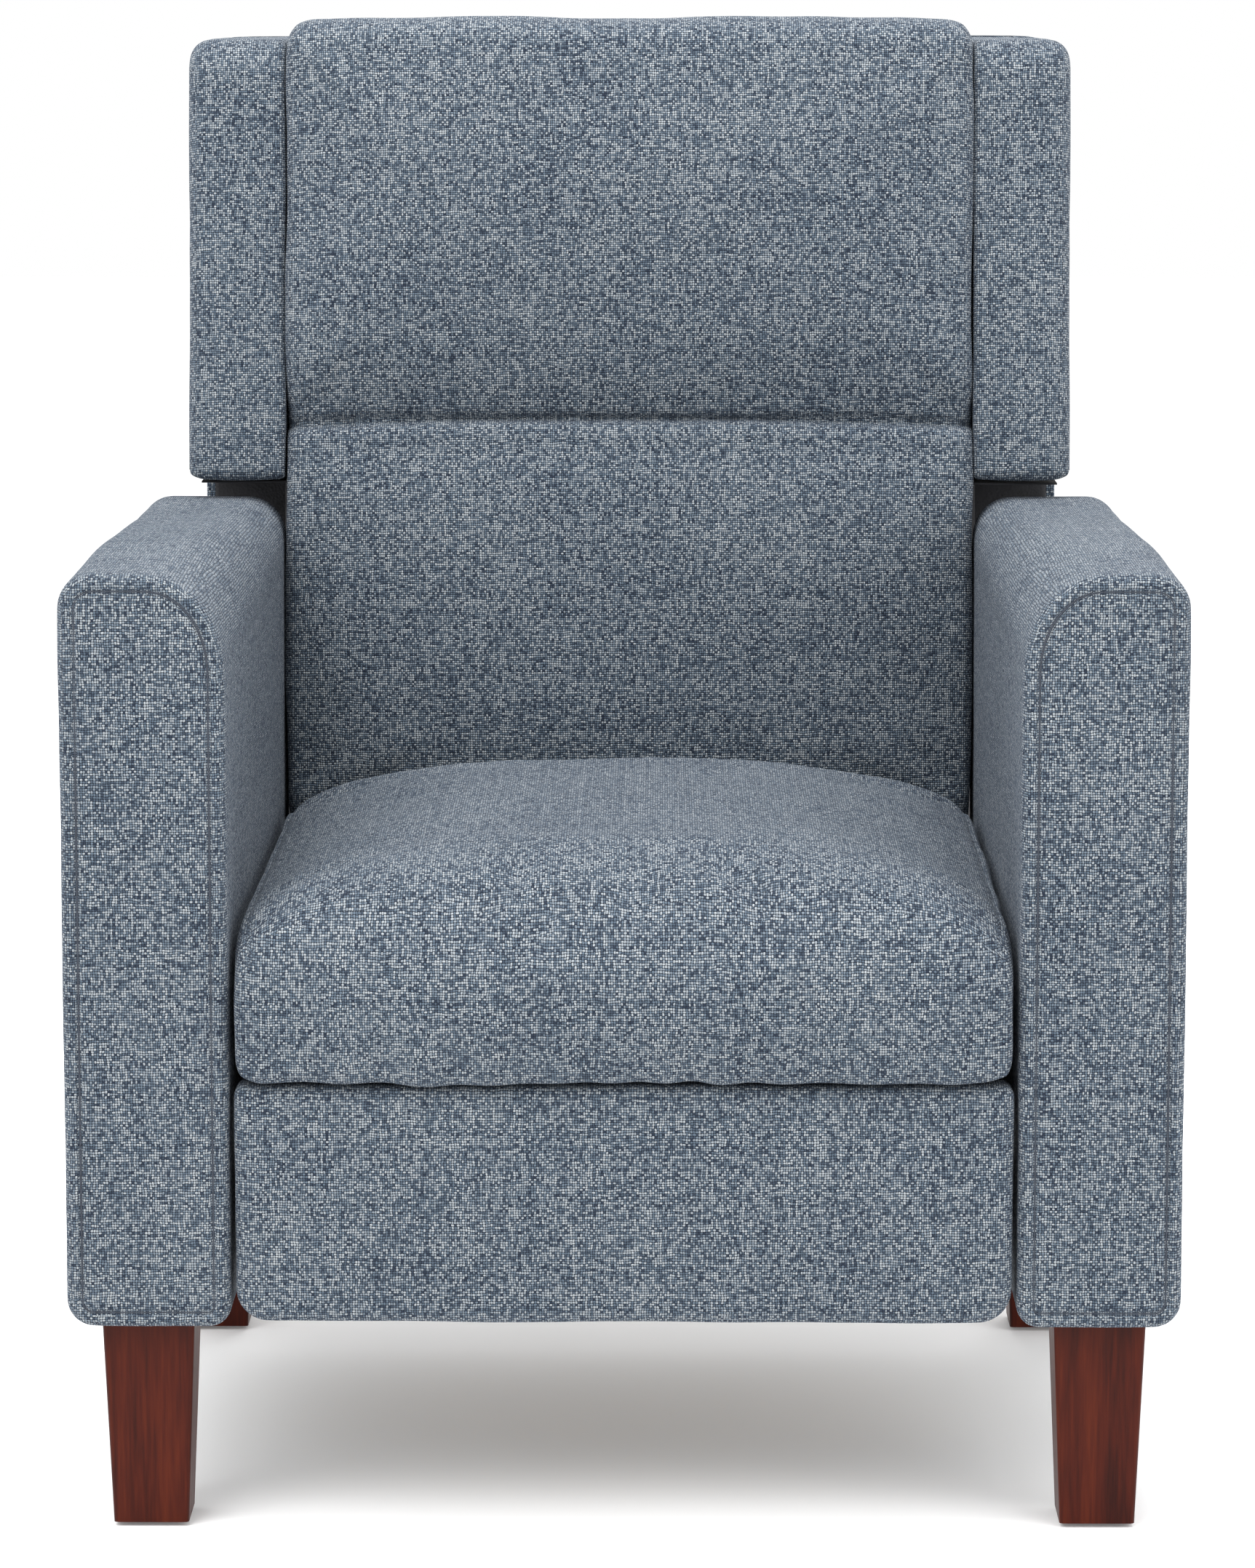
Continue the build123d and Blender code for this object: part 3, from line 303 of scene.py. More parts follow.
def zinc_material():
    """Bright zinc-plated steel with fine drawing marks."""
    g = Graph("zinc")
    place = g.add("ShaderNodeTexCoord").outputs["Object"]
    stretch = g.add("ShaderNodeMapping", Vector=place, Scale=(0.1, 1.0, 1.0))
    marks = g.noise(stretch.outputs[0], 900.0, 3.0)
    colour = g.ramp(marks, [(0.3, (0.42, 0.43, 0.44)), (0.7, (0.66, 0.66, 0.65))])
    g.put(g.shader, "Base Color", colour)
    g.put(g.shader, "Metallic", 1.0)
    g.put(g.shader, "Roughness", g.math("MULTIPLY_ADD", marks, 0.2, 0.26))
    g.bump(marks, 0.12, 0.0002)
    return g.material


def nylon_material():
    """Black moulded nylon."""
    g = Graph("nylon")
    place = g.add("ShaderNodeTexCoord").outputs["Object"]
    grit = g.noise(place, 1200.0, 2.0)
    colour = g.ramp(grit, [(0.3, (0.010, 0.010, 0.011)), (0.8, (0.035, 0.035, 0.036))])
    g.put(g.shader, "Base Color", colour)
    g.put(g.shader, "Roughness", 0.5)
    g.bump(grit, 0.3, 0.0003)
    return g.material


def lining_material():
    """Black spun lining cloth, dull, with pressed dots; on the back frame's sides its black is
    also painted shade for the gaps beside the back pads.
    """
    g = Graph("black_lining")
    place = g.add("ShaderNodeUVMap", {"uv_map": "cloth"}).outputs[0]
    dots = g.add("ShaderNodeTexVoronoi", Vector=place, Scale=480.0)
    creases = g.noise(place, 30.0, 4.0)
    colour = g.ramp(creases, [(0.3, (0.006, 0.006, 0.008)), (0.75, (0.022, 0.022, 0.026))])
    g.put(g.shader, "Base Color", colour)
    g.put(g.shader, "Roughness", 0.85)
    g.put(g.shader, "Sheen Weight", 0.1)
    g.bump(g.math("ADD", dots.outputs["Distance"], g.math("MULTIPLY", creases, 2.0)), 0.4, 0.0008)
    return g.material


TWEED = tweed_material()
SEAM_SHADE = thread_material()
STAINED_WOOD = stained_wood_material()
RAW_WOOD = raw_wood_material()
POWDER_STEEL = powder_steel_material()
ZINC = zinc_material()
NYLON = nylon_material()
# Black lining, also laid on the back frame's sides as painted shade of the gaps beside the back
# pads.
LINING_AND_GAP_SHADE = lining_material()


# ---- Shapes ----
def linked(name, data):
    """A new object with that data, in the scene."""
    piece = bpy.data.objects.new(name, data)
    bpy.context.scene.collection.objects.link(piece)
    return piece


def with_modifiers(piece):
    """A new mesh of piece with its modifiers applied."""
    graph = bpy.context.evaluated_depsgraph_get()
    return bpy.data.meshes.new_from_object(piece.evaluated_get(graph))


def outline(a0, a1, b0, b1, radii, inset, ends):
    """Points round a rounded rectangle, anticlockwise from its bottom left corner.

    radii is for the bottom left, bottom right, top right and top left corners, and each is one
    number or a pair. inset shrinks the whole outline. ends is how many points each corner, each
    lower or upper side and each left or right side gets.
    """
    corner, along_a, along_b = ends
    a0, a1, b0, b1 = a0 + inset, a1 - inset, b0 + inset, b1 - inset
    half_a, half_b = max((a1 - a0) / 2, 0.0), max((b1 - b0) / 2, 0.0)
    if a1 < a0:
        a0 = a1 = (a0 + a1) / 2
    if b1 < b0:
        b0 = b1 = (b0 + b1) / 2
    corners = [(a0, b0, 1, 1), (a1, b0, -1, 1), (a1, b1, -1, -1), (a0, b1, 1, -1)]
    arcs = []
    for turn, ((a, b, sign_a, sign_b), radius) in enumerate(zip(corners, radii)):
        radius_a, radius_b = radius if hasattr(radius, "__len__") else (radius, radius)
        radius_a = min(max(radius_a - inset, 0.0), half_a)
        radius_b = min(max(radius_b - inset, 0.0), half_b)
        angles = np.radians(180 + 90 * turn + np.linspace(0, 90, corner))
        arcs.append(
            np.stack(
                [
                    a + sign_a * radius_a + radius_a * np.cos(angles),
                    b + sign_b * radius_b + radius_b * np.sin(angles),
                ],
                axis=1,
            )
        )
    points = []
    for turn, arc in enumerate(arcs):
        points.append(arc)
        steps = along_b if turn % 2 else along_a
        share = np.linspace(0, 1, steps + 2)[1:-1, None]
        points.append(arc[-1] + share * (arcs[(turn + 1) % 4][0] - arc[-1]))
    return np.concatenate(points)


def stations(start, stop, round_start, round_stop, steps):
    """(place, inset) pairs of a closed loft: a rounded edge, a body and a rounded edge."""
    quarter = np.radians(np.linspace(0, 90, 6))
    first = [
        (start + round_start * (1 - math.cos(t)), round_start * (1 - math.sin(t))) for t in quarter
    ]
    places = np.linspace(start + round_start, stop - round_stop, steps + 2)
    last = [
        (stop - round_stop * (1 - math.cos(t)), round_stop * (1 - math.sin(t))) for t in quarter
    ]
    return first + [(place, 0.0) for place in places[1:-1]] + last[::-1]


def cap(ring, ends, first, faces):
    """Points of an even grid over the inside of a ring, and its quads added to faces.

    ends is the ring's (corner, along_a, along_b). first holds the number of the ring's first point
    and the number of the grid's first new one.
    """
    corner, along_a, along_b = ends
    across, upwards = corner + along_a, corner + along_b
    loop = np.roll(np.arange(len(ring)), -(corner // 2)).tolist()
    bottom = loop[: across + 1]
    right = loop[across : across + upwards + 1]
    top = loop[across + upwards : 2 * across + upwards + 1][::-1]
    left = ([loop[0]] + loop[: 2 * across + upwards - 1 : -1])[: upwards + 1]
    inner = []
    index = np.zeros((upwards + 1, across + 1), dtype=int)
    index[0], index[-1] = bottom, top
    index[:, 0], index[:, -1] = left, right
    start = len(ring)
    for j in range(1, upwards):
        t = j / upwards
        for i in range(1, across):
            s = i / across
            point = (1 - t) * ring[bottom[i]] + t * ring[top[i]]
            point = point + (1 - s) * ring[left[j]] + s * ring[right[j]]
            point = point - (1 - s) * (1 - t) * ring[bottom[0]] - s * t * ring[top[-1]]
            point = point - s * (1 - t) * ring[bottom[-1]] - (1 - s) * t * ring[top[0]]
            index[j, i] = start + len(inner)
            inner.append(point)
    names = np.where(index < start, index + first[0], index - start + first[1])
    for j in range(upwards):
        for i in range(across):
            faces.append((names[j, i], names[j, i + 1], names[j + 1, i + 1], names[j + 1, i]))
    return inner


def skin(name, rings, place, ends):
    """A closed mesh over rings of equally many points, its two ends capped with even grids."""
    rings = [np.asarray(ring, dtype=float) for ring in rings]
    count = len(rings[0])
    faces = []
    total = len(rings) * count
    extra = cap(rings[0], ends, (0, total), faces)
    extra += cap(rings[-1], ends, (total - count, total + len(extra)), faces)
    points = place(np.concatenate([*rings, np.array(extra)]))
    for low in range(len(rings) - 1):
        for k in range(count):
            a, b = low * count + k, low * count + (k + 1) % count
            faces.append((a, b, b + count, a + count))
    mesh = bpy.data.meshes.new(name)
    mesh.from_pydata(points.tolist(), [], faces)
    work = bmesh.new()
    work.from_mesh(mesh)
    bmesh.ops.remove_doubles(work, verts=work.verts, dist=2e-5)
    bmesh.ops.dissolve_degenerate(work, edges=work.edges, dist=1e-6)
    bmesh.ops.holes_fill(work, edges=[e for e in work.edges if e.is_boundary], sides=0)
    bmesh.ops.recalc_face_normals(work, faces=work.faces)
    work.to_mesh(mesh)
    work.free()
    return linked(name, mesh)


def points_of(piece):
    """piece's points, one row each."""
    points = np.empty(len(piece.data.vertices) * 3)
    piece.data.vertices.foreach_get("co", points)
    return points.reshape(-1, 3)


def normals_of(piece):
    """The way piece faces at each of its points."""
    normals = np.empty(len(piece.data.vertices) * 3)
    piece.data.vertex_normals.foreach_get("vector", normals)
    return normals.reshape(-1, 3)


def set_points(piece, points):
    """Moves piece's points."""
    piece.data.vertices.foreach_set("co", np.asarray(points).ravel())
    piece.data.update()


def wave_field(points, size, seed):
    """Smooth noise from -1 to 1 at each point, with hollows about size apart."""
    shift = Vector((seed * 3.7, seed * 1.9, seed * 5.3))
    return np.array([noise.noise(Vector(p) / size + shift) for p in points])


def soften(piece, size, amount, seed, second=0.35):
    """Broad unevenness of padding under cloth, with smaller ripples on it."""
    points = points_of(piece)
    lumps = wave_field(points, size, seed) + second * wave_field(points, size / 3.2, seed + 11)
    set_points(piece, points + normals_of(piece) * (amount * lumps)[:, None])


def mirrored(piece, name):
    """The same piece on the other side of the chair."""
    mesh = piece.data.copy()
    mesh.name = name
    twin = linked(name, mesh)
    set_points(twin, points_of(twin) * np.array([-1.0, 1.0, 1.0]))
    mesh.flip_normals()
    return twin


def remeshed(piece, voxel):
    """Rebuilds piece's mesh from voxels of that size."""
    modifier = piece.modifiers.new("voxels", "REMESH")
    modifier.mode = "VOXEL"
    modifier.voxel_size = voxel
    made = with_modifiers(piece)
    piece.modifiers.clear()
    piece.data = made


CLOTH_FRAMES = 20


def puff(piece, pressure, reach, pinned):
    """Inflates piece as cloth and holds each point within reach of its start.

    pinned(points) gives how firmly each point is sewn down, from 0 to 1.
    """
    start = points_of(piece)
    sewn = piece.vertex_groups.new(name="sewn")
    for index, weight in enumerate(pinned(start)):
        if weight > 0.01:
            sewn.add([index], float(min(weight, 1.0)), "REPLACE")
    cloth = piece.modifiers.new("cloth", "CLOTH")
    cloth.settings.vertex_group_mass = "sewn"
    cloth.settings.quality = 4
    cloth.settings.mass = 0.25
    cloth.settings.tension_stiffness = 18
    cloth.settings.compression_stiffness = 10
    cloth.settings.shear_stiffness = 6
    cloth.settings.bending_stiffness = 1.2
    cloth.settings.use_pressure = True
    cloth.settings.uniform_pressure_force = pressure
    cloth.settings.effector_weights.gravity = 0
    cloth.point_cache.frame_start = 1
    cloth.point_cache.frame_end = CLOTH_FRAMES
    scene = bpy.context.scene
    for step in range(1, CLOTH_FRAMES + 1):
        scene.frame_set(step)
    made = with_modifiers(piece)
    end = np.empty(len(made.vertices) * 3)
    made.vertices.foreach_get("co", end)
    end = end.reshape(-1, 3)
    piece.modifiers.clear()
    piece.vertex_groups.clear()
    scene.frame_set(1)
    moved = end - start
    far = np.linalg.norm(moved, axis=1)
    held = np.minimum(1.0, reach / np.maximum(far, 1e-9))
    set_points(piece, start + moved * held[:, None])


def refined(piece):
    """Divides each face of piece once and smooths it."""
    modifier = piece.modifiers.new("finer", "SUBSURF")
    modifier.levels = 1
    modifier.render_levels = 1
    made = with_modifiers(piece)
    piece.modifiers.clear()
    piece.data = made


def lay_cloth(piece, leans):
    """Gives each face the flat coordinates of cloth laid on it, in metres, by the way it faces."""
    mesh = piece.data
    flat = flat_of(points_of(piece), leans)
    layer = mesh.uv_layers.get("cloth") or mesh.uv_layers.new(name="cloth")
    corner_count = len(mesh.loops)
    vertex = np.empty(corner_count, dtype=int)
    mesh.loops.foreach_get("vertex_index", vertex)
    face_count = len(mesh.polygons)
    facing = np.empty(face_count * 3)
    mesh.polygons.foreach_get("normal", facing)
    facing = np.abs(flat_of(facing.reshape(-1, 3), leans))
    sides = np.empty(face_count, dtype=int)
    mesh.polygons.foreach_get("loop_total", sides)
    main = np.repeat(np.argmax(facing, axis=1), sides)
    at = flat[vertex]
    across = np.where(main == 0, at[:, 1], at[:, 0])
    along = np.where(main == 2, at[:, 1], at[:, 2])
    layer.data.foreach_set("uv", np.stack([across, along], axis=1).ravel())


def dress(piece, material, body, leans=False, levels=1, cad=()):
    """Finishes a piece: cloth coordinates, material, shading, body and what it replaces."""
    lay_cloth(piece, leans)
    piece.data.materials.clear()
    piece.data.materials.append(material)
    piece.data.polygons.foreach_set("use_smooth", [True] * len(piece.data.polygons))
    if levels:
        smooth = piece.modifiers.new("smooth", "SUBSURF")
        smooth.levels = levels
        smooth.render_levels = levels
    if body:
        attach(piece, body)
    if cad:
        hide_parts(*cad)


def seam_cord(name, points, radius, body):
    """A line of painted seam shade: a thin near-black cord along points in the chair's frame."""
    curve = bpy.data.curves.new(name, "CURVE")
    curve.dimensions = "3D"
    curve.bevel_depth = radius
    curve.bevel_resolution = 2
    spline = curve.splines.new("POLY")
    spline.points.add(len(points) - 1)
    spline.points.foreach_set("co", np.hstack([points, np.ones((len(points), 1))]).ravel())
    piece = linked(name, curve)
    curve.materials.append(SEAM_SHADE)
    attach(piece, body)


# ---- Arms ----
ARM_SEAM_INSET = 0.0105
ARM_SEAM_U = 0.0034
ARM_SEAM_RADIUS = 0.0009
ARM_EDGE = 0.011
ARM_ENDS = (9, 8, 40)
# The top is raised at the front and falls away towards the rear, over these shares of its length.
ARM_CROWN = 0.0085
ARM_FALL_START, ARM_FALL_LENGTH = 0.30, 0.52


def arm_outline(share, inset):
    """The arm's section, share of the way from its front to its rear."""
    inner_top = (0.050 - 0.022 * share, 0.062 - 0.032 * share)
    fall = min(max((share - ARM_FALL_START) / ARM_FALL_LENGTH, 0.0), 1.0)
    crown = ARM_CROWN * (1 - fall * fall * (3 - 2 * fall))
    return outline(
        ARM_LOW.x,
        ARM_HIGH.x,
        ARM_LOW.z,
        ARM_HIGH.z + crown,
        [0.014, 0.018, 0.022, inner_top],
        inset,
        ARM_ENDS,
    )


def arm_stations(length):
    """(u, inset) pairs: a front panel sewn in inside the edge, then the body and a plain rear."""
    panel = [(0.0012, 0.0200), (0.0012, 0.0140)]
    seam = [(0.0016, 0.0122), (0.0042, ARM_SEAM_INSET), (0.0014, 0.0088), (0.0012, 0.0062)]
    edge = [
        (0.0012 + ARM_EDGE * (1 - math.cos(t)), 0.0062 * (1 - math.sin(t)))
        for t in np.radians([25, 50, 70, 90])
    ]
    body = [(u, 0.0) for u in np.linspace(edge[-1][0], length - ARM_EDGE, 36)[1:]]
    rear = [
        (length - ARM_EDGE * (1 - math.sin(t)), ARM_EDGE * (1 - math.cos(t)))
        for t in np.radians([25, 50, 70, 90])
    ]
    return panel + seam + edge + body + rear + [(length, 0.020)]


def make_arm():
    """The sitter's left arm, padded most on its outside and its top."""
    length = ARM_HIGH.y - ARM_LOW.y
    rings = []
    for u, inset in arm_stations(length):
        ring = arm_outline(u / length, inset)
        rings.append(np.stack([ring[:, 0], np.full(len(ring), u), ring[:, 1]], axis=1))
    arm = skin("arm_left", rings, upright, ARM_ENDS)
    points = points_of(arm)
    normals = normals_of(arm)
    middle = (points[:, 1] - ARM_LOW.y) / length
    along = np.sin(np.pi * np.clip(middle, 0, 1)) ** 0.6
    outwards = np.clip(normals[:, 0], 0, 1) * 0.0030 + np.clip(normals[:, 2], 0, 1) * 0.0022
    inwards = np.clip(-normals[:, 0], 0, 1) * 0.0006
    up = (points[:, 2] - ARM_LOW.z) / (ARM_HIGH.z - ARM_LOW.z)
    upright_swell = 0.35 + 0.65 * np.sin(np.pi * np.clip(up, 0, 1)) ** 0.7
    swell = along * (outwards + inwards) * upright_swell
    set_points(arm, points + normals * swell[:, None])
    soften(arm, 0.13, 0.0009, 3)
    return arm


def arm_seams(side, sign):
    """A near-black cord round the front panel's seam: painted shade of its groove."""
    ring = arm_outline(0.0, ARM_SEAM_INSET)
    ring = np.vstack([ring, ring[:1]])
    points = np.stack([ring[:, 0] * sign, np.full(len(ring), ARM_SEAM_U), ring[:, 1]], axis=1)
    seam_cord(f"arm_front_seam_shade_{side}", upright(points), ARM_SEAM_RADIUS, "base")


arm_left = make_arm()
arm_right = mirrored(arm_left, "arm_right")
for arm, side, sign in ((arm_left, "left", 1), (arm_right, "right", -1)):
    dress(arm, TWEED, "base", cad=[f"arm_cover_{side}"])
    arm_seams(side, sign)


# ---- Seat cushion: a waterfall front and a crowned top ----
CUSHION_HALF = SEAT_HIGH.x + 0.0015
SEAT_U0, SEAT_U1 = SEAT_LOW.y - FRONT_Y, SEAT_HIGH.y - FRONT_Y
CUSHION_VOXEL = 0.006
PUCKER_PITCH = 0.043


def make_seat_cushion():
    """One boxed cushion with a rounded front edge, gathered along its lower front seam."""
    rings = []
    ends = (9, 24, 8)
    margin = 0.003
    for x, inset in stations(-CUSHION_HALF + margin, CUSHION_HALF - margin, 0.016, 0.016, 30):
        share = abs(x) / CUSHION_HALF
        crown = 0.012 * share**2 + 0.026 * share**9
        ring = outline(
            SEAT_U0 + margin,
            SEAT_U1 - margin,
            SEAT_LOW.z + margin,
            SEAT_HIGH.z - margin - crown,
            [0.010, 0.022, 0.030, (0.066, 0.058)],
            inset * 0.8,
            ends,
        )
        rings.append(np.stack([np.full(len(ring), x), ring[:, 0], ring[:, 1]], axis=1))
    cushion = skin("seat_cushion_cloth", rings, upright, ends)
    remeshed(cushion, CUSHION_VOXEL)

    def sewn_down(points):
        x, _, z = side_view(points).T
        low = np.clip(1 - (z - SEAT_LOW.z) / 0.022, 0, 1)
        side = np.clip((np.abs(x) - (CUSHION_HALF - 0.014)) / 0.006, 0, 1) * 0.5
        return np.maximum(low, side)

    puff(cushion, 5.0, 0.012, sewn_down)
    refined(cushion)
    points = points_of(cushion)
    x, u, z = side_view(points).T
    front = np.clip(1 - (u - SEAT_U0) / 0.05, 0, 1)
    low = np.clip(1 - np.abs(z - SEAT_LOW.z - 0.014) / 0.034, 0, 1)
    pucker = np.sin(x * 2 * np.pi / PUCKER_PITCH + 2.0 * np.sin(x * 17.0))
    pucker = pucker * (0.6 + 0.4 * np.sin(x * 31.0))
    edge = np.abs(x) / CUSHION_HALF
    side_seam = np.exp(-(((edge - 0.955) / 0.007) ** 2)) * np.clip((z - SEAT_LOW.z) / 0.03, 0, 1)
    points[:, 1] += front * (low * pucker * 0.0022 + side_seam * 0.0020)
    points[:, 2] += front * low * pucker * 0.0016 - (1 - front) * side_seam * 0.0020
    points[:, 0] = np.clip(points[:, 0], -CUSHION_HALF, CUSHION_HALF)
    set_points(cushion, points)
    soften(cushion, 0.11, 0.0020, 5)
    return cushion


dress(make_seat_cushion(), TWEED, "seat", levels=0, cad=["seat_cushion"])


# ---- Back cushions: one cover over two pads, drawn in along the seam between them ----
BACK_HALF = 0.2532
BACK_LOW_W, BACK_HIGH_W = 0.086, 0.698
BACK_EDGE = 0.018
GATHER_PITCH = 0.037


def make_back_pads():
    """The tall cushion of the back, with a crease and small gathers where its two pads meet."""
    rings = []
    ends = (9, 6, 60)
    margin = 0.004
    for x, inset in stations(-BACK_HALF, BACK_HALF, BACK_EDGE, BACK_EDGE, 30):
        share = abs(x) / BACK_HALF
        ring = outline(
            PAD_FRONT_V + 0.012 * share**3 + margin,
            0.010,
            BACK_LOW_W,
            BACK_HIGH_W,
            [(0.030, 0.040), 0.010, 0.018, (0.045, 0.030)],
            inset,
            ends,
        )
        v, w = ring.T
        forwards = np.clip(-v / 0.06, 0, 1)
        from_seam = np.abs(w - PAD_SEAM_W)
        v = v + forwards * 0.020 * np.exp(-from_seam / 0.018)
        up = (w - BACK_LOW_W) / (BACK_HIGH_W - BACK_LOW_W)
        narrow = 1 - 0.010 * np.clip(1 - up / 0.25, 0, 1) ** 2
        rings.append(np.stack([x * narrow, v, w], axis=1))
    pads = skin("back_pads_cloth", rings, leaning, ends)
    remeshed(pads, CUSHION_VOXEL)

    def sewn_down(points):
        x, v, w = back_view(points).T
        rear = np.clip((v + 0.016) / 0.010, 0, 1)
        seam = np.clip(1 - np.abs(w - PAD_SEAM_W) / 0.007, 0, 1)
        low = np.clip(1 - (w - BACK_LOW_W) / 0.014, 0, 1) * 0.6
        high = np.clip(1 - (BACK_HIGH_W - w) / 0.030, 0, 1) * 0.8
        side = np.clip((np.abs(x) - (BACK_HALF - 0.010)) / 0.006, 0, 1) * 0.6
        return np.maximum.reduce([rear, seam, low, high, side])

    puff(pads, 4.5, 0.011, sewn_down)
    refined(pads)
    points = points_of(pads)
    x, v, w = back_view(points).T
    line = PAD_SEAM_W - 0.004 * (np.abs(x) / BACK_HALF) ** 4
    crease = np.exp(-(((w - line) / 0.0032) ** 2))
    gather = np.sin(x * 2 * np.pi / GATHER_PITCH + 2.3 * np.sin(x * 13.0))
    gather = gather * np.exp(-np.abs(w - line) / 0.022)
    forwards = np.clip(-v / 0.05, 0, 1)
    v = v + forwards * (crease * 0.0085 + gather * 0.0012)
    under = np.exp(-(((line - 0.010 - w) / 0.009) ** 2))
    v = v - forwards * under * 0.0030
    x = np.clip(x, -BACK_HALF - 0.001, BACK_HALF + 0.001)
    set_points(pads, leaning(np.stack([x, v, w], axis=1)))
    soften(pads, 0.12, 0.0022, 7)
    return pads


dress(
    make_back_pads(),
    TWEED,
    "back",
    leans=True,
    levels=0,
    cad=["lower_back_cushion", "upper_back_cushion"],
)


# ---- Wings ----
def make_wing():
    """The sitter's left wing, with its front face swollen a little between its seams."""
    base_w0, base_w1 = lean_w(0, WING_LOW.z), lean_w(0, WING_HIGH.z)
    rings = []
    ends = (9, 16, 32)
    for x, inset in stations(WING_LOW.x, WING_HIGH.x, 0.005, 0.015, 12):
        ring = outline(
            WING_FRONT_V,
            WING_REAR_V,
            base_w0 - 0.55 * inset,
            base_w1,
            [0.010, 0.008, 0.012, 0.026],
            inset,
            ends,
        )
        lifted = ring[:, 1] + ring[:, 0] * LEAN_TAN
        rings.append(np.stack([np.full(len(ring), x), ring[:, 0], lifted], axis=1))
    wing = skin("wing_left", rings, leaning, ends)
    points = points_of(wing)
    normals = normals_of(wing)
    forwards = np.clip(-normals[:, 1], 0, 1)
    middle = (points[:, 0] - WING_LOW.x) / (WING_HIGH.x - WING_LOW.x)
    swell = forwards * np.sin(np.pi * np.clip(middle, 0, 1)) * 0.004
    set_points(wing, points + normals * swell[:, None])
    soften(wing, 0.10, 0.0010, 13)
    return wing


wing_left = make_wing()
wing_right = mirrored(wing_left, "wing_right")
for wing, side in ((wing_left, "left"), (wing_right, "right")):
    dress(wing, TWEED, "back", leans=True, cad=[f"wing_cover_{side}"])


# ---- Outside back, side linings (black as painted shade of the gaps beside the back pads) and top cover ----
SHOULDER_Z = 0.568
OUTSIDE_THICKNESS = 0.005
OUTSIDE_CORNER = 0.022
LOWER_BACK_HALF = 0.2665


def make_outside_back():
    """The rear panel: narrow between the arms, and as wide as the wings above them."""
    w0, w1 = lean_w(OUTSIDE_V, OUTSIDE_LOW.z), lean_w(OUTSIDE_V, OUTSIDE_HIGH.z)
    shoulder = lean_w(OUTSIDE_V, SHOULDER_Z)
    half_top = OUTSIDE_HIGH.x
    places = [(w0, 0.0025, LOWER_BACK_HALF - 0.1), (w0, 0.0010, LOWER_BACK_HALF - 0.008)]
    places += [(w, 0.0, LOWER_BACK_HALF) for w in np.linspace(w0 + 0.003, shoulder - 0.006, 26)]
    places += [(shoulder - 0.001, 0.0, LOWER_BACK_HALF + 0.004), (shoulder, 0.0, half_top - 0.012)]
    corner_w, corner_x = w1 - OUTSIDE_CORNER, half_top - OUTSIDE_CORNER
    places += [(w, 0.0, half_top) for w in np.linspace(shoulder + 0.010, corner_w, 26)]
    places += [
        (corner_w + OUTSIDE_CORNER * math.sin(t), 0.0, corner_x + OUTSIDE_CORNER * math.cos(t))
        for t in np.radians([25, 50, 72])
    ]
    places += [(w1, 0.0010, corner_x), (w1, 0.0025, half_top - 0.12)]
    rings = []
    ends = (5, 48, 1)
    for w, inset, half in places:
        ring = outline(
            -half,
            half,
            OUTSIDE_V,
            OUTSIDE_V + OUTSIDE_THICKNESS,
            [0.002] * 4,
            inset,
            ends,
        )
        rings.append(np.stack([ring[:, 0], ring[:, 1], np.full(len(ring), w)], axis=1))
    panel = skin("outside_back_cloth", rings, leaning, ends)
    points = points_of(panel)
    normals = normals_of(panel)
    rearwards = np.clip(normals[:, 1], 0, 1)
    reach = np.clip(1 - np.abs(points[:, 0]) / LOWER_BACK_HALF, 0, 1)
    set_points(panel, points + normals * (rearwards * reach**0.5 * 0.0030)[:, None])
    soften(panel, 0.15, 0.0009, 17)
    return panel


dress(make_outside_back(), TWEED, "back", leans=True, cad=["outside_back"])


def make_sheet(name, corner, edge_a, edge_b, thickness, place, steps=(24, 48), sag=0.0):
    """A thin panel from one corner along two edges, with a soft sag.

    place turns its points into the chair's frame.
    """
    rows = np.linspace(0, 1, steps[0])
    columns = np.linspace(0, 1, steps[1])
    corner, edge_a, edge_b = (np.array(value, float) for value in (corner, edge_a, edge_b))
    normal = np.cross(edge_a, edge_b)
    normal /= np.linalg.norm(normal)
    points = []
    for side in (0.0, thickness):
        for s in rows:
            for t in columns:
                dip = sag * math.sin(math.pi * s) * math.sin(math.pi * t)
                points.append(corner + edge_a * s + edge_b * t + normal * (side + dip))
    count = steps[0] * steps[1]
    faces = []
    for i in range(steps[0] - 1):
        for j in range(steps[1] - 1):
            a = i * steps[1] + j
            quad = (a, a + 1, a + steps[1] + 1, a + steps[1])
            faces.append(quad)
            faces.append(tuple(count + k for k in quad[::-1]))
    rim = list(range(steps[1]))
    rim += [i * steps[1] + steps[1] - 1 for i in range(1, steps[0])]
    rim += [(steps[0] - 1) * steps[1] + j for j in range(steps[1] - 2, -1, -1)]
    rim += [i * steps[1] for i in range(steps[0] - 2, 0, -1)]
    for k, start in enumerate(rim):
        end = rim[(k + 1) % len(rim)]
        faces.append((start, end, count + end, count + start))
    mesh = bpy.data.meshes.new(name)
    mesh.from_pydata(place(np.array(points)).tolist(), [], faces)
    work = bmesh.new()
    work.from_mesh(mesh)
    bmesh.ops.recalc_face_normals(work, faces=work.faces)
    work.to_mesh(mesh)
    work.free()
    return linked(name, mesh)


# The black cloth over each side of the back frame spreads until it meets the outside back's edge.
# Its black is painted shade, filling the gap between each arm and the back pads.
FLARE_START_V, FLARE_LENGTH, FLARE = 0.082, 0.037, 0.0145


def flared(points):
    """(x, v, w) points in the chair's frame, spread outwards near the outside back."""
    out = FLARE * np.clip((points[:, 1] - FLARE_START_V) / FLARE_LENGTH, 0, 1)
    return leaning(np.stack([points[:, 0] + np.sign(points[:, 0]) * out, *points.T[1:]], axis=1))


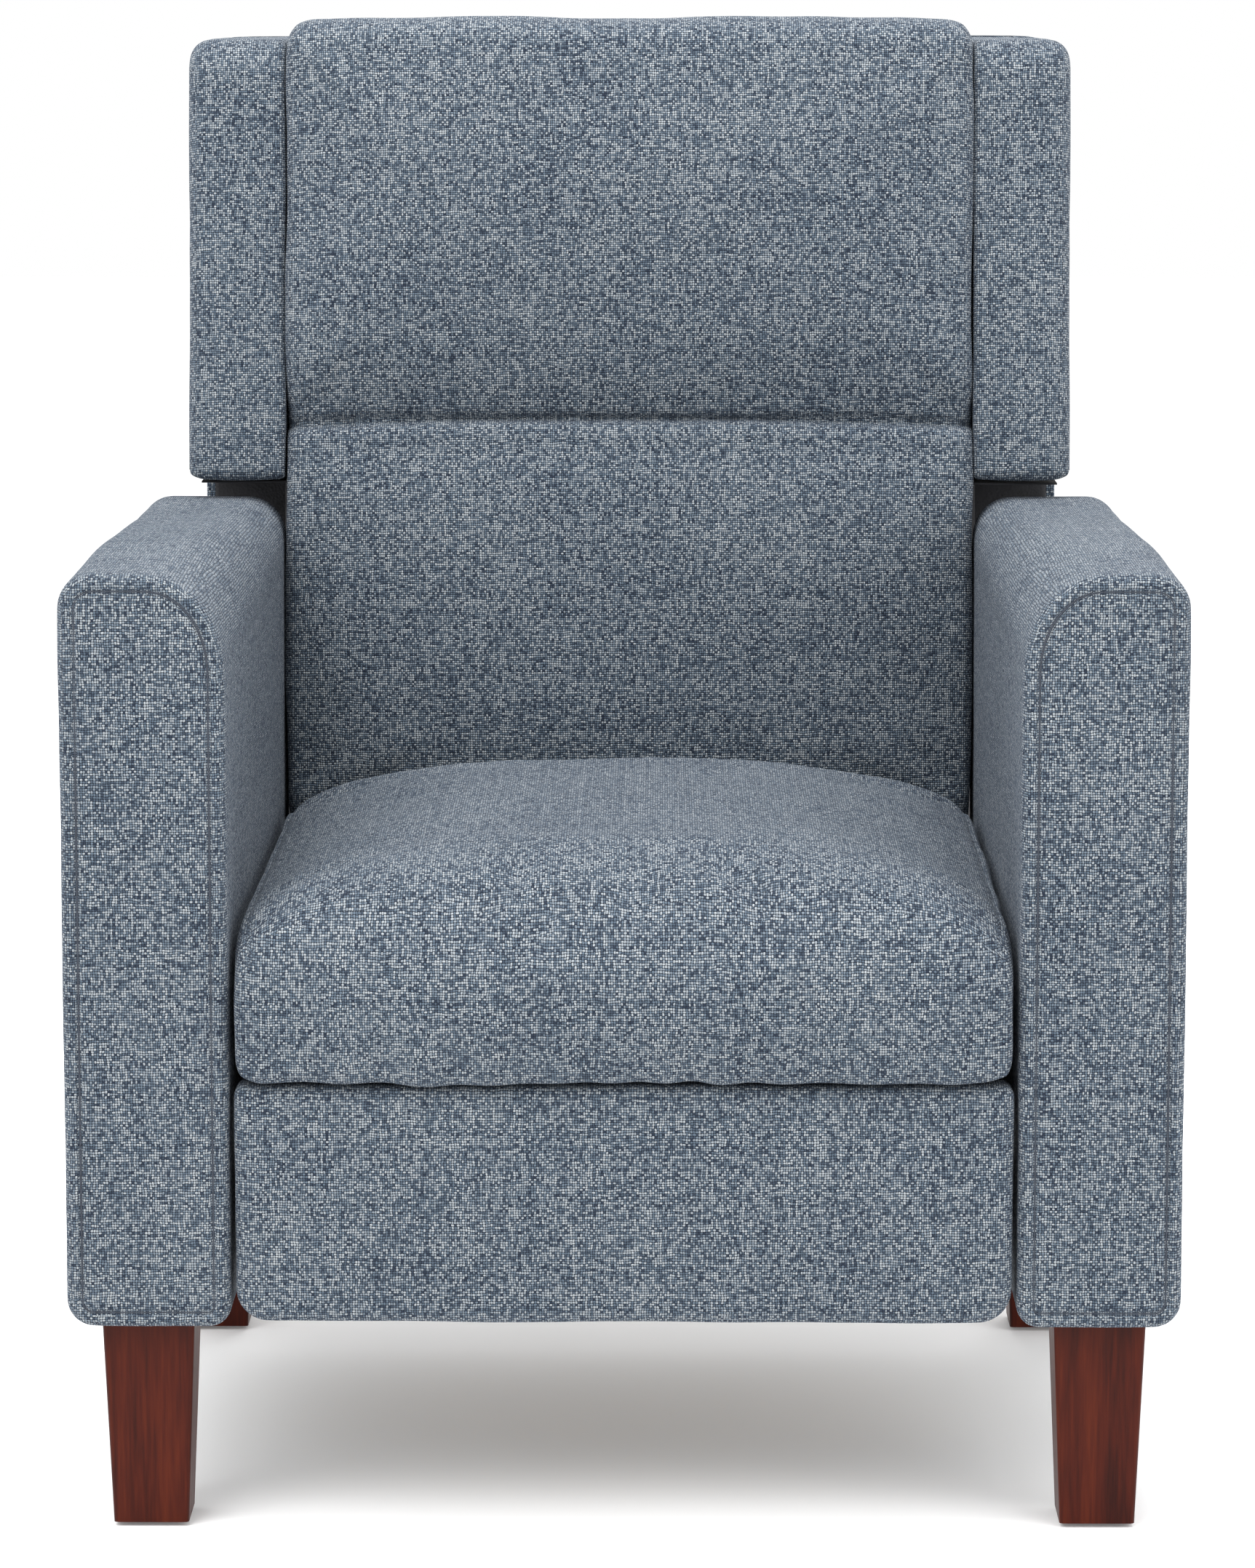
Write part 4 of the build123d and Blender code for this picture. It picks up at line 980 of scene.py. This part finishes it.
SIDE_CLOTH_X = 0.2498
SIDE_CLOTH_LOW_W = 0.062
SIDE_CLOTH_THICKNESS = 0.002
SIDE_CLOTH_FLAT = (0.1120, lean_w(0.06, WING_LOW.z + 0.015) - SIDE_CLOTH_LOW_W)
# Each side sheet is black as painted shade of the gap between the arm and the back pads.
for side, sign in (("left", 1), ("right", -1)):
    lining = make_sheet(
        f"side_gap_shade_cloth_{side}",
        (sign * SIDE_CLOTH_X - SIDE_CLOTH_THICKNESS / 2, 0.010, SIDE_CLOTH_LOW_W),
        (0, 0.109, 0.012),
        (0, 0, SIDE_CLOTH_FLAT[1]),
        SIDE_CLOTH_THICKNESS,
        flared,
        sag=-0.0008 * sign,
    )
    dress(
        lining,
        LINING_AND_GAP_SHADE,
        "back",
        leans=True,
        levels=0,
        cad=["side_linings"] if side == "left" else (),
    )

TOP_HALF = TOP_COVER_HIGH.x
TOP_DEPTH = 0.118
top_cover = make_sheet(
    "top_cloth",
    (-TOP_HALF, 0.001, lean_w(0, TOP_COVER_LOW.z)),
    (0, TOP_DEPTH, TOP_DEPTH * LEAN_TAN),
    (2 * TOP_HALF, 0, 0),
    0.004,
    leaning,
    steps=(16, 60),
    sag=0.003,
)
dress(top_cover, TWEED, "back", leans=True, levels=0, cad=["back_top_cover"])

# Black cloth closes each wing from below and the back frame behind it.
UNDER_WIDTH, UNDER_DEPTH = 0.066, 0.160
UNDER_V = WING_FRONT_V + 0.012
UNDER_W = lean_w(0, WING_LOW.z - 0.0025) + UNDER_V * LEAN_TAN
APRON_WIDTH, APRON_V = 0.070, 0.1165
APRON_LOW_W = lean_w(APRON_V, SHOULDER_Z + 0.004)
APRON_HIGH_W = lean_w(APRON_V, WING_LOW.z + 0.006)
THIN_CLOTH = 0.0012
for side, sign in (("left", 1), ("right", -1)):
    under = make_sheet(
        f"wing_lining_{side}",
        (sign * 0.2495, UNDER_V, UNDER_W),
        (0, UNDER_DEPTH, UNDER_DEPTH * LEAN_TAN),
        (sign * UNDER_WIDTH, 0, 0),
        THIN_CLOTH,
        leaning,
        steps=(20, 12),
        sag=0.001,
    )
    dress(under, LINING_AND_GAP_SHADE, "back", leans=True, levels=0)
    apron = make_sheet(
        f"wing_apron_{side}",
        (sign * 0.2480, APRON_V, APRON_LOW_W),
        (sign * APRON_WIDTH, 0, 0),
        (0, 0, APRON_HIGH_W - APRON_LOW_W),
        THIN_CLOTH,
        leaning,
        steps=(24, 10),
        sag=0.0006,
    )
    dress(apron, LINING_AND_GAP_SHADE, "back", leans=True, levels=0)


# ---- Dust cloth: closes the mechanism from behind, from the seat frame to the back's hem ----
SEAT_RAIL_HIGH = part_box("seat_rear_rail")[1]
DUST_WIDTH = 0.480


def make_dust_cloth():
    """A slack strip of lining whose front edge follows the seat and whose hem follows the back."""
    start = np.array([0.0, SEAT_RAIL_HIGH.y + 0.0005, SEAT_RAIL_HIGH.z - 0.004])
    hem_w = lean_w(OUTSIDE_V, OUTSIDE_LOW.z) + 0.010
    hem = leaning(np.array([[0.0, OUTSIDE_V - 0.002, hem_w]]))[0]
    run = hem - start
    cloth = make_sheet(
        "dust_cloth",
        start - np.array([DUST_WIDTH / 2, 0, 0]),
        (DUST_WIDTH, 0, 0),
        run,
        0.0010,
        lambda points: points,
        steps=(60, 24),
        sag=-0.006,
    )
    dress(cloth, LINING_AND_GAP_SHADE, None, levels=0)
    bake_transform(cloth)


make_dust_cloth()


# ---- Footrest pad ----
FOOT_DEPTH = 0.030
FOOT_RISE = 0.0065


def make_footrest():
    """The front panel, raised a little above its board to meet the seat cushion's lower seam."""
    rings = []
    ends = (9, 46, 12)
    for u, inset in stations(0.0, FOOT_DEPTH, 0.010, 0.003, 4):
        ring = outline(
            FOOT_LOW.x,
            FOOT_HIGH.x,
            FOOT_LOW.z,
            FOOT_HIGH.z + FOOT_RISE,
            [0.022, 0.022, 0.008, 0.008],
            inset,
            ends,
        )
        rings.append(np.stack([ring[:, 0], np.full(len(ring), u), ring[:, 1]], axis=1))
    pad = skin("footrest_cloth", rings, upright, ends)
    points = points_of(pad)
    normals = normals_of(pad)
    forwards = np.clip(-normals[:, 1], 0, 1)
    up = (points[:, 2] - FOOT_LOW.z) / (FOOT_HIGH.z - FOOT_LOW.z)
    out = np.clip(1 - (np.abs(points[:, 0]) / FOOT_HIGH.x) ** 6, 0, 1)
    swell = forwards * out * np.sin(np.pi * np.clip(up, 0, 1)) ** 0.6 * 0.004
    set_points(pad, points + normals * swell[:, None])
    soften(pad, 0.12, 0.0014, 21)
    return pad


dress(make_footrest(), TWEED, "footrest", cad=["footrest_pad"])


# ---- Rear rail cover ----
def make_rear_rail_cover():
    """Cloth wrapped round the rail between the rear legs."""
    rings = []
    ends = (5, 5, 12)
    for x, inset in stations(RAIL_LOW.x, RAIL_HIGH.x, 0.002, 0.002, 40):
        ring = outline(
            RAIL_LOW.y - FRONT_Y,
            RAIL_HIGH.y - FRONT_Y,
            RAIL_LOW.z,
            RAIL_HIGH.z,
            [0.004] * 4,
            inset,
            ends,
        )
        rings.append(np.stack([np.full(len(ring), x), ring[:, 0], ring[:, 1]], axis=1))
    cover = skin("rear_rail_cloth", rings, upright, ends)
    soften(cover, 0.08, 0.0006, 25)
    return cover


dress(make_rear_rail_cover(), TWEED, "base", cad=["rear_rail_cover"])


# ---- CAD pieces that show: better materials ----
SLOT_MATERIALS = {
    "frame_wood": RAW_WOOD,
    "leg_wood": STAINED_WOOD,
    "glide_plastic": NYLON,
    "bright_steel": ZINC,
    "linkage_steel": POWDER_STEEL,
    "black_lining": NYLON,
    "tweed": TWEED,
}
for part in frame["record"]["subparts"]:
    materials = frame["nodes"][part["node"]].data.materials
    materials.clear()
    materials.append(SLOT_MATERIALS[part["material_slot"]])


# ---- Stage, lights and camera ----
FLOOR_HALF = 14.0
FLOOR_GLOW = 0.12


def make_stage():
    """A wide white floor."""
    g = Graph("pale_floor")
    grain = g.noise(g.add("ShaderNodeTexCoord").outputs["Object"], 3.0, 2.0)
    pale = g.ramp(grain, [(0.3, (0.90, 0.90, 0.90)), (0.7, (0.93, 0.93, 0.93))])
    g.put(g.shader, "Base Color", pale)
    g.put(g.shader, "Roughness", 0.9)
    g.put(g.shader, "Emission Color", (1.0, 1.0, 1.0, 1.0))
    g.put(g.shader, "Emission Strength", FLOOR_GLOW)
    mesh = bpy.data.meshes.new("floor")
    corners = [(-1, -1), (1, -1), (1, 1), (-1, 1)]
    mesh.from_pydata([(x * FLOOR_HALF, y * FLOOR_HALF, 0) for x, y in corners], [], [(0, 1, 2, 3)])
    mesh.materials.append(g.material)
    linked("floor", mesh)


def make_light(name, place, target, size, power):
    """A square area light that faces target."""
    data = bpy.data.lights.new(name, "AREA")
    data.energy = power
    data.size = size
    light = linked(name, data)
    light.location = place
    light.rotation_mode = "QUATERNION"
    light.rotation_quaternion = (Vector(target) - Vector(place)).to_track_quat("-Z", "Y")


CAMERA_LENS = 131.2
CAMERA_SENSOR = 36
CAMERA_DISTANCE = 3.6
CAMERA_HEIGHT = 1.021
CAMERA_RIGHT = 0.0247
CAMERA_TILT = math.radians(8.308)
CAMERA_TURN = math.radians(0.354)


def make_camera():
    """The main view, from in front of the chair and a little above it."""
    data = bpy.data.cameras.new("camera")
    data.lens = CAMERA_LENS
    data.sensor_width = CAMERA_SENSOR
    data.sensor_fit = "AUTO"
    camera = linked("camera", data)
    camera.location = (CAMERA_RIGHT, FRONT_Y - CAMERA_DISTANCE, CAMERA_HEIGHT)
    camera.rotation_euler = (math.radians(90) - CAMERA_TILT, 0, CAMERA_TURN)
    bpy.context.scene.camera = camera


make_stage()
make_light("key", (-1.5, -2.4, 2.7), (0, 0, 0.5), 2.2, 85)
make_light("fill", (2.3, -2.3, 1.8), (0, 0, 0.4), 2.4, 45)
make_light("top", (0, -0.3, 3.0), (0, 0, 0.4), 2.2, 75)
make_light("rear", (0.5, 3.2, 2.2), (0, 0, 0.5), 2.2, 50)
world = bpy.data.worlds.new("studio")
world.use_nodes = True
background = world.node_tree.nodes["Background"]
background.inputs["Color"].default_value = (1, 1, 1, 1)
background.inputs["Strength"].default_value = 1.0
bpy.context.scene.world = world
bpy.context.scene.view_settings.view_transform = "Standard"
bpy.context.scene.view_settings.look = "None"
make_camera()
